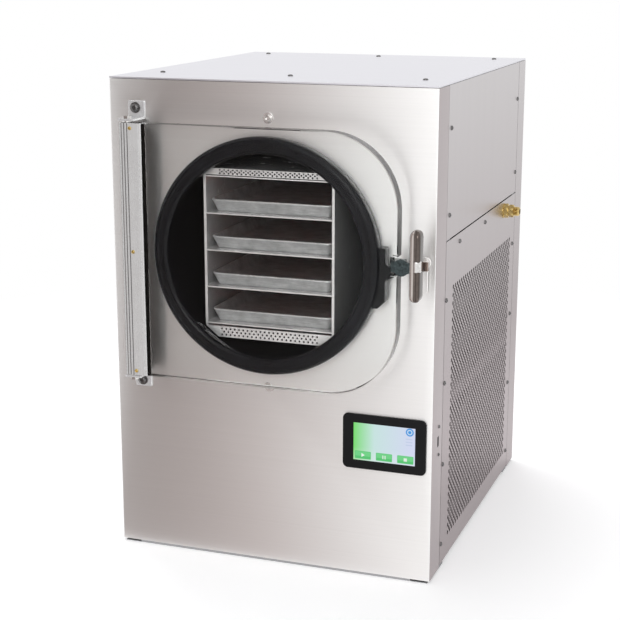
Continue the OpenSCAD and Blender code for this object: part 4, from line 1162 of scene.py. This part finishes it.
def screen_sockets(n):
    """The picture, in shares of the screen's width and height from its lower left corner."""
    low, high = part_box("screen_glass")
    x, _, z = n.axes()
    across = (x - low.x)/(high.x - low.x)
    up = (z - low.z)/(high.z - low.z)
    shape = (high.x - low.x)/(high.z - low.z)

    def box_mask(cx, cz, half_w, half_h, corner):
        """1 inside a rounded box and 0 outside; sizes are shares of the screen's height."""
        dx = (abs(across*shape - cx*shape) - (half_w - corner)).at_least(0.0)
        dz = (abs(up - cz) - (half_h - corner)).at_least(0.0)
        return ((dx*dx + dz*dz)**0.5).rises(corner + 0.008, corner - 0.008)

    def disc_mask(cx, cz, radius):
        """1 inside a disc."""
        dx, dz = (across - cx)*shape, up - cz
        return ((dx*dx + dz*dz)**0.5).rises(radius + 0.01, radius - 0.01)

    ground = n.between(across.rises(0.0, 0.34), (0.20, 0.78, 0.16), (0.62, 0.86, 0.80))
    ground = n.between(across.rises(0.25, 0.95), ground, (0.72, 0.76, 0.97))
    ground = n.between(up.rises(0.35, 0.0)*0.35, ground, (0.90, 0.98, 0.95))
    for cx in BUTTONS:
        ground = n.between(box_mask(cx, BUTTON_Z, 0.215, 0.105, 0.02), ground, (0.10, 0.60, 0.18))
        ground = n.between(box_mask(cx, 0.17, 0.20, 0.06, 0.02)*0.5, ground, (0.25, 0.82, 0.34))
    from_left = (across - BUTTONS[0])*shape
    pointed = (0.052 - from_left)*0.6
    triangle = pointed.math("GREATER_THAN", pointed, abs(up - BUTTON_Z))*from_left.rises(-0.040, -0.036)
    bars = [box_mask(BUTTONS[1] + shift, BUTTON_Z, 0.014, 0.045, 0.004) for shift in (-0.018, 0.018)]
    for sign in (triangle, *bars, box_mask(BUTTONS[2], BUTTON_Z, 0.042, 0.042, 0.006)):
        ground = n.between(sign, ground, (0.93, 0.98, 0.94))
    ground = n.between(disc_mask(*DISC, 0.105), ground, (0.05, 0.33, 0.80))
    ring = disc_mask(*DISC, 0.068)*(1 - disc_mask(*DISC, 0.045))
    ground = n.between(ring, ground, (0.75, 0.88, 1.0))
    for row in (0.70, 0.62, 0.54):
        ground = n.between(box_mask(0.90, row, 0.085, 0.012, 0.004)*0.55, ground, (0.42, 0.55, 0.75))
    return {"Base Color": (0.008, 0.008, 0.010), "Roughness": 0.10, "Specular IOR Level": 0.25,
            "Emission Color": ground, "Emission Strength": 0.88}


screen_lit = finish("lit screen", screen_sockets)
print("screen is lit")

# %% [markdown]
# ## Parts in two finishes
#
# Some nodes are one solid of two materials: a board with its components, a fin pack on copper tubes. Where
# the two lie at different places, a mask on position parts them, with the change on the line where they
# meet.

# %% Board and fin pack
def board_sockets(n):
    """Green lacquer with tracks under the top face, and dark components above it."""
    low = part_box("control_board")[0]
    _, _, z = n.axes()
    above = z.rises(low.z + 1.7*MM, low.z + 1.8*MM)
    track = n.cells(160.0).rises(0.02, 0.06)
    lacquer = n.between(track, (0.10, 0.30, 0.12), (0.02, 0.14, 0.07))
    tops = z.rises(low.z + 30*MM, low.z + 31*MM)
    parts = n.between(tops, (0.03, 0.03, 0.035), (0.55, 0.56, 0.58))
    return {"Base Color": n.between(above, lacquer, parts), "Roughness": 0.30 + 0.15*above,
            "Normal": n.bump(track, 0.00004)}


def fin_sockets(n):
    """Aluminium fins and end plates between copper tube ends."""
    low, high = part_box("condenser")
    _, y, _ = n.axes()
    outside = y.rises(low.y + 24*MM, low.y + 22*MM).at_least(y.rises(high.y - 24*MM, high.y - 22*MM))
    dust = n.noise((30.0, 30.0, 30.0), detail=5.0).rises(0.4, 0.7)
    fins = n.between(dust, (0.62, 0.61, 0.60), (0.38, 0.37, 0.36))
    return {"Base Color": n.between(outside, fins, (0.80, 0.42, 0.27)), "Metallic": 1.0,
            "Roughness": 0.35 + 0.2*dust, "Normal": n.bump(dust, 0.00005)}


board_green = finish("circuit board", board_sockets)
fin_metal = finish("fin pack", fin_sockets)
print("two-part finishes are made")

# %% [markdown]
# ## Finishes for the nodes that stay
#
# The rest of the CAD nodes have their true form already, so each only gets its finish. A node's object keeps
# its place and its mesh; only the material in its slots changes.

# %% Finishes of the CAD nodes
kept = {node: material for material, names in (
    (pan_steel, "base_pan machine_deck"), (frame_steel, "chassis_frame fan_shroud fan_motor"),
    (enamel, "chamber_drum compressor"), (foam_black, "chamber_insulation"),
    (copper, "evaporator_coil filter_drier refrigerant_lines vacuum_pipe"),
    (rubber, "compressor_grommets"), (fin_metal, "condenser"), (tray_metal, "fan_blade"),
    (clear_hose, "drain_hose"), (board_green, "control_board"), (brass, "board_standoffs"),
    (screen_lit, "screen_glass"), (black_plastic, "screen_module")) for node in names.split()}
for node, material in kept.items():
    slots = nodes[node].material_slots
    if not slots:
        nodes[node].data.materials.append(material)
    for slot in slots:
        slot.material = material
print(len(kept), "nodes keep their CAD form")

# %% [markdown]
# ## The studio
#
# Polished metal has almost no colour of its own: it shows the room. So steel is lit in a studio with large
# white surfaces, and shaped with dark cloths, called flags, which the metal mirrors as a soft dark edge.
# Here the floor and the world are white to the camera and in mirrors, and the lamps are at a level at which a
# colour looks about as it is written. One tall cloth hangs at the left of the front and one lies before it.
# Only mirrors see them.

# %% World
SEEN = ("Is Camera Ray", "Is Glossy Ray", "Is Transmission Ray")


def white_world(level):
    """White to the camera and in mirrors, and a plain level for the rest."""
    world = bpy.data.worlds.new("studio")
    world.use_nodes = True
    n = Nodes(world.node_tree)
    n.output(n.mix(n.ray(*SEEN), n.plain("Background", WHITE, Strength=level),
                   n.plain("Background", WHITE, Strength=1.0)), "ShaderNodeOutputWorld")
    bpy.context.scene.world = world


white_world(level=0.62)


# %% Floor
def studio_plane(name, corners, material):
    """A flat sheet through four corners that isn't part of the object."""
    mesh = bpy.data.meshes.new(name)
    mesh.from_pydata(corners, [], [(0, 1, 2, 3)])
    mesh.materials.append(material)
    made = add_object(name, mesh)
    return made


def floor_shader(n):
    """White where it is lit. To the camera and in mirrors it also glows a little, so that a lit floor is
    pure white while its shadows stay, and far from the machine it is plain white."""
    shaded = n.node("ShaderNodeAddShader", None, {0: n.plain("BsdfDiffuse", (0.80, 0.80, 0.81)),
                                                  1: n.plain("Emission", WHITE, Strength=0.38)})
    x, y, _ = n.axes()
    far = ((x*x + y*y)**0.5).rises(*FLOOR_FADE)
    shown = n.mix(far, shaded.outputs[0], n.plain("Emission", WHITE, Strength=1.0))
    return n.mix(n.ray(*SEEN), n.plain("BsdfDiffuse", (0.86, 0.86, 0.87)), shown)


FLOOR_FADE = (0.7, 1.7)
FLOOR_HALF = 30.0
studio_plane("floor", [(x*FLOOR_HALF, y*FLOOR_HALF, 0.0) for x, y in ((-1, -1), (1, -1), (1, 1), (-1, 1))],
             finish("studio floor", floor_shader))
print("floor is down")


# %% Flags
def cloth(name, corners, shader):
    """A cloth that only mirrors see, also through the clear door."""
    made = studio_plane(name, corners, finish(name, shader))
    made.visible_camera = False
    made.visible_diffuse = False
    made.visible_shadow = False
    return made


def warm_greys(n, light):
    """Warm dark grey where light is 0, a middle grey at a half, and white at 1."""
    lower = n.between(light.rises(0.0, 0.5), (0.18, 0.150, 0.141), (0.55, 0.485, 0.472))
    colour = n.between(light.rises(0.5, 1.0), lower, WHITE)
    return n.plain("Emission", colour, Strength=1.0)


def side_cloth_shader(n):
    """Dark beside the machine and up high, and lighter and lighter towards its front end."""
    _, y, z = n.axes()
    nearness = y.rises(FRONT_Y - 2.1, FRONT_Y - 0.3)
    return warm_greys(n, 1 - nearness*(0.90 + 0.10*z.rises(0.1, 0.7)))


def floor_cloth_shader(n):
    """Dark on the left and white on the right. Its bands run the way the front mirrors them."""
    x, y, _ = n.axes()
    column = x + 0.39*(FRONT_Y - y)
    return warm_greys(n, 0.22 + 0.78*column.rises(-0.30, 0.36)**1.25)


SIDE_X = -0.45
SIDE_NEAR, SIDE_FAR, SIDE_TOP = FRONT_Y - 0.3, FRONT_Y - 2.7, 2.5
cloth("side cloth", [(SIDE_X, SIDE_NEAR, 0.0), (SIDE_X, SIDE_FAR, 0.0), (SIDE_X, SIDE_FAR, SIDE_TOP),
                     (SIDE_X, SIDE_NEAR, SIDE_TOP)], side_cloth_shader)
LYING_NEAR, LYING_FAR, LYING_RIGHT, LYING_Z = FRONT_Y - 0.01, FRONT_Y - 1.4, 0.45, 0.001
cloth("floor cloth", [(SIDE_X, LYING_NEAR, LYING_Z), (LYING_RIGHT, LYING_NEAR, LYING_Z),
                      (LYING_RIGHT, LYING_FAR, LYING_Z), (SIDE_X, LYING_FAR, LYING_Z)], floor_cloth_shader)
print("cloths hang")


# %% Lamps
def softbox(name, place, aim, size, watts):
    """A square area lamp at a place, turned to face aim."""
    lamp = bpy.data.lights.new(name, "AREA")
    lamp.shape = "SQUARE"
    lamp.size = size
    lamp.energy = watts
    made = add_object(name, lamp)
    made.location = place
    direction = np.subtract(aim, place)
    made.rotation_euler = (math.atan2(math.hypot(direction[0], direction[1]), -direction[2]),
                           0.0, math.atan2(direction[0], -direction[1]) + math.pi)
    return made


object_middle = tuple((cad_box[0] + cad_box[1])/2)
top_lamp = softbox("top softbox", (-0.6, 0.8, 3.0), object_middle, size=1.8, watts=47.0)
top_lamp.visible_glossy = False
softbox("front softbox", (0.6, -3.2, 1.5), object_middle, size=1.6, watts=21.0)
bpy.context.scene.view_settings.view_transform = "Standard"
print("lamps are lit")
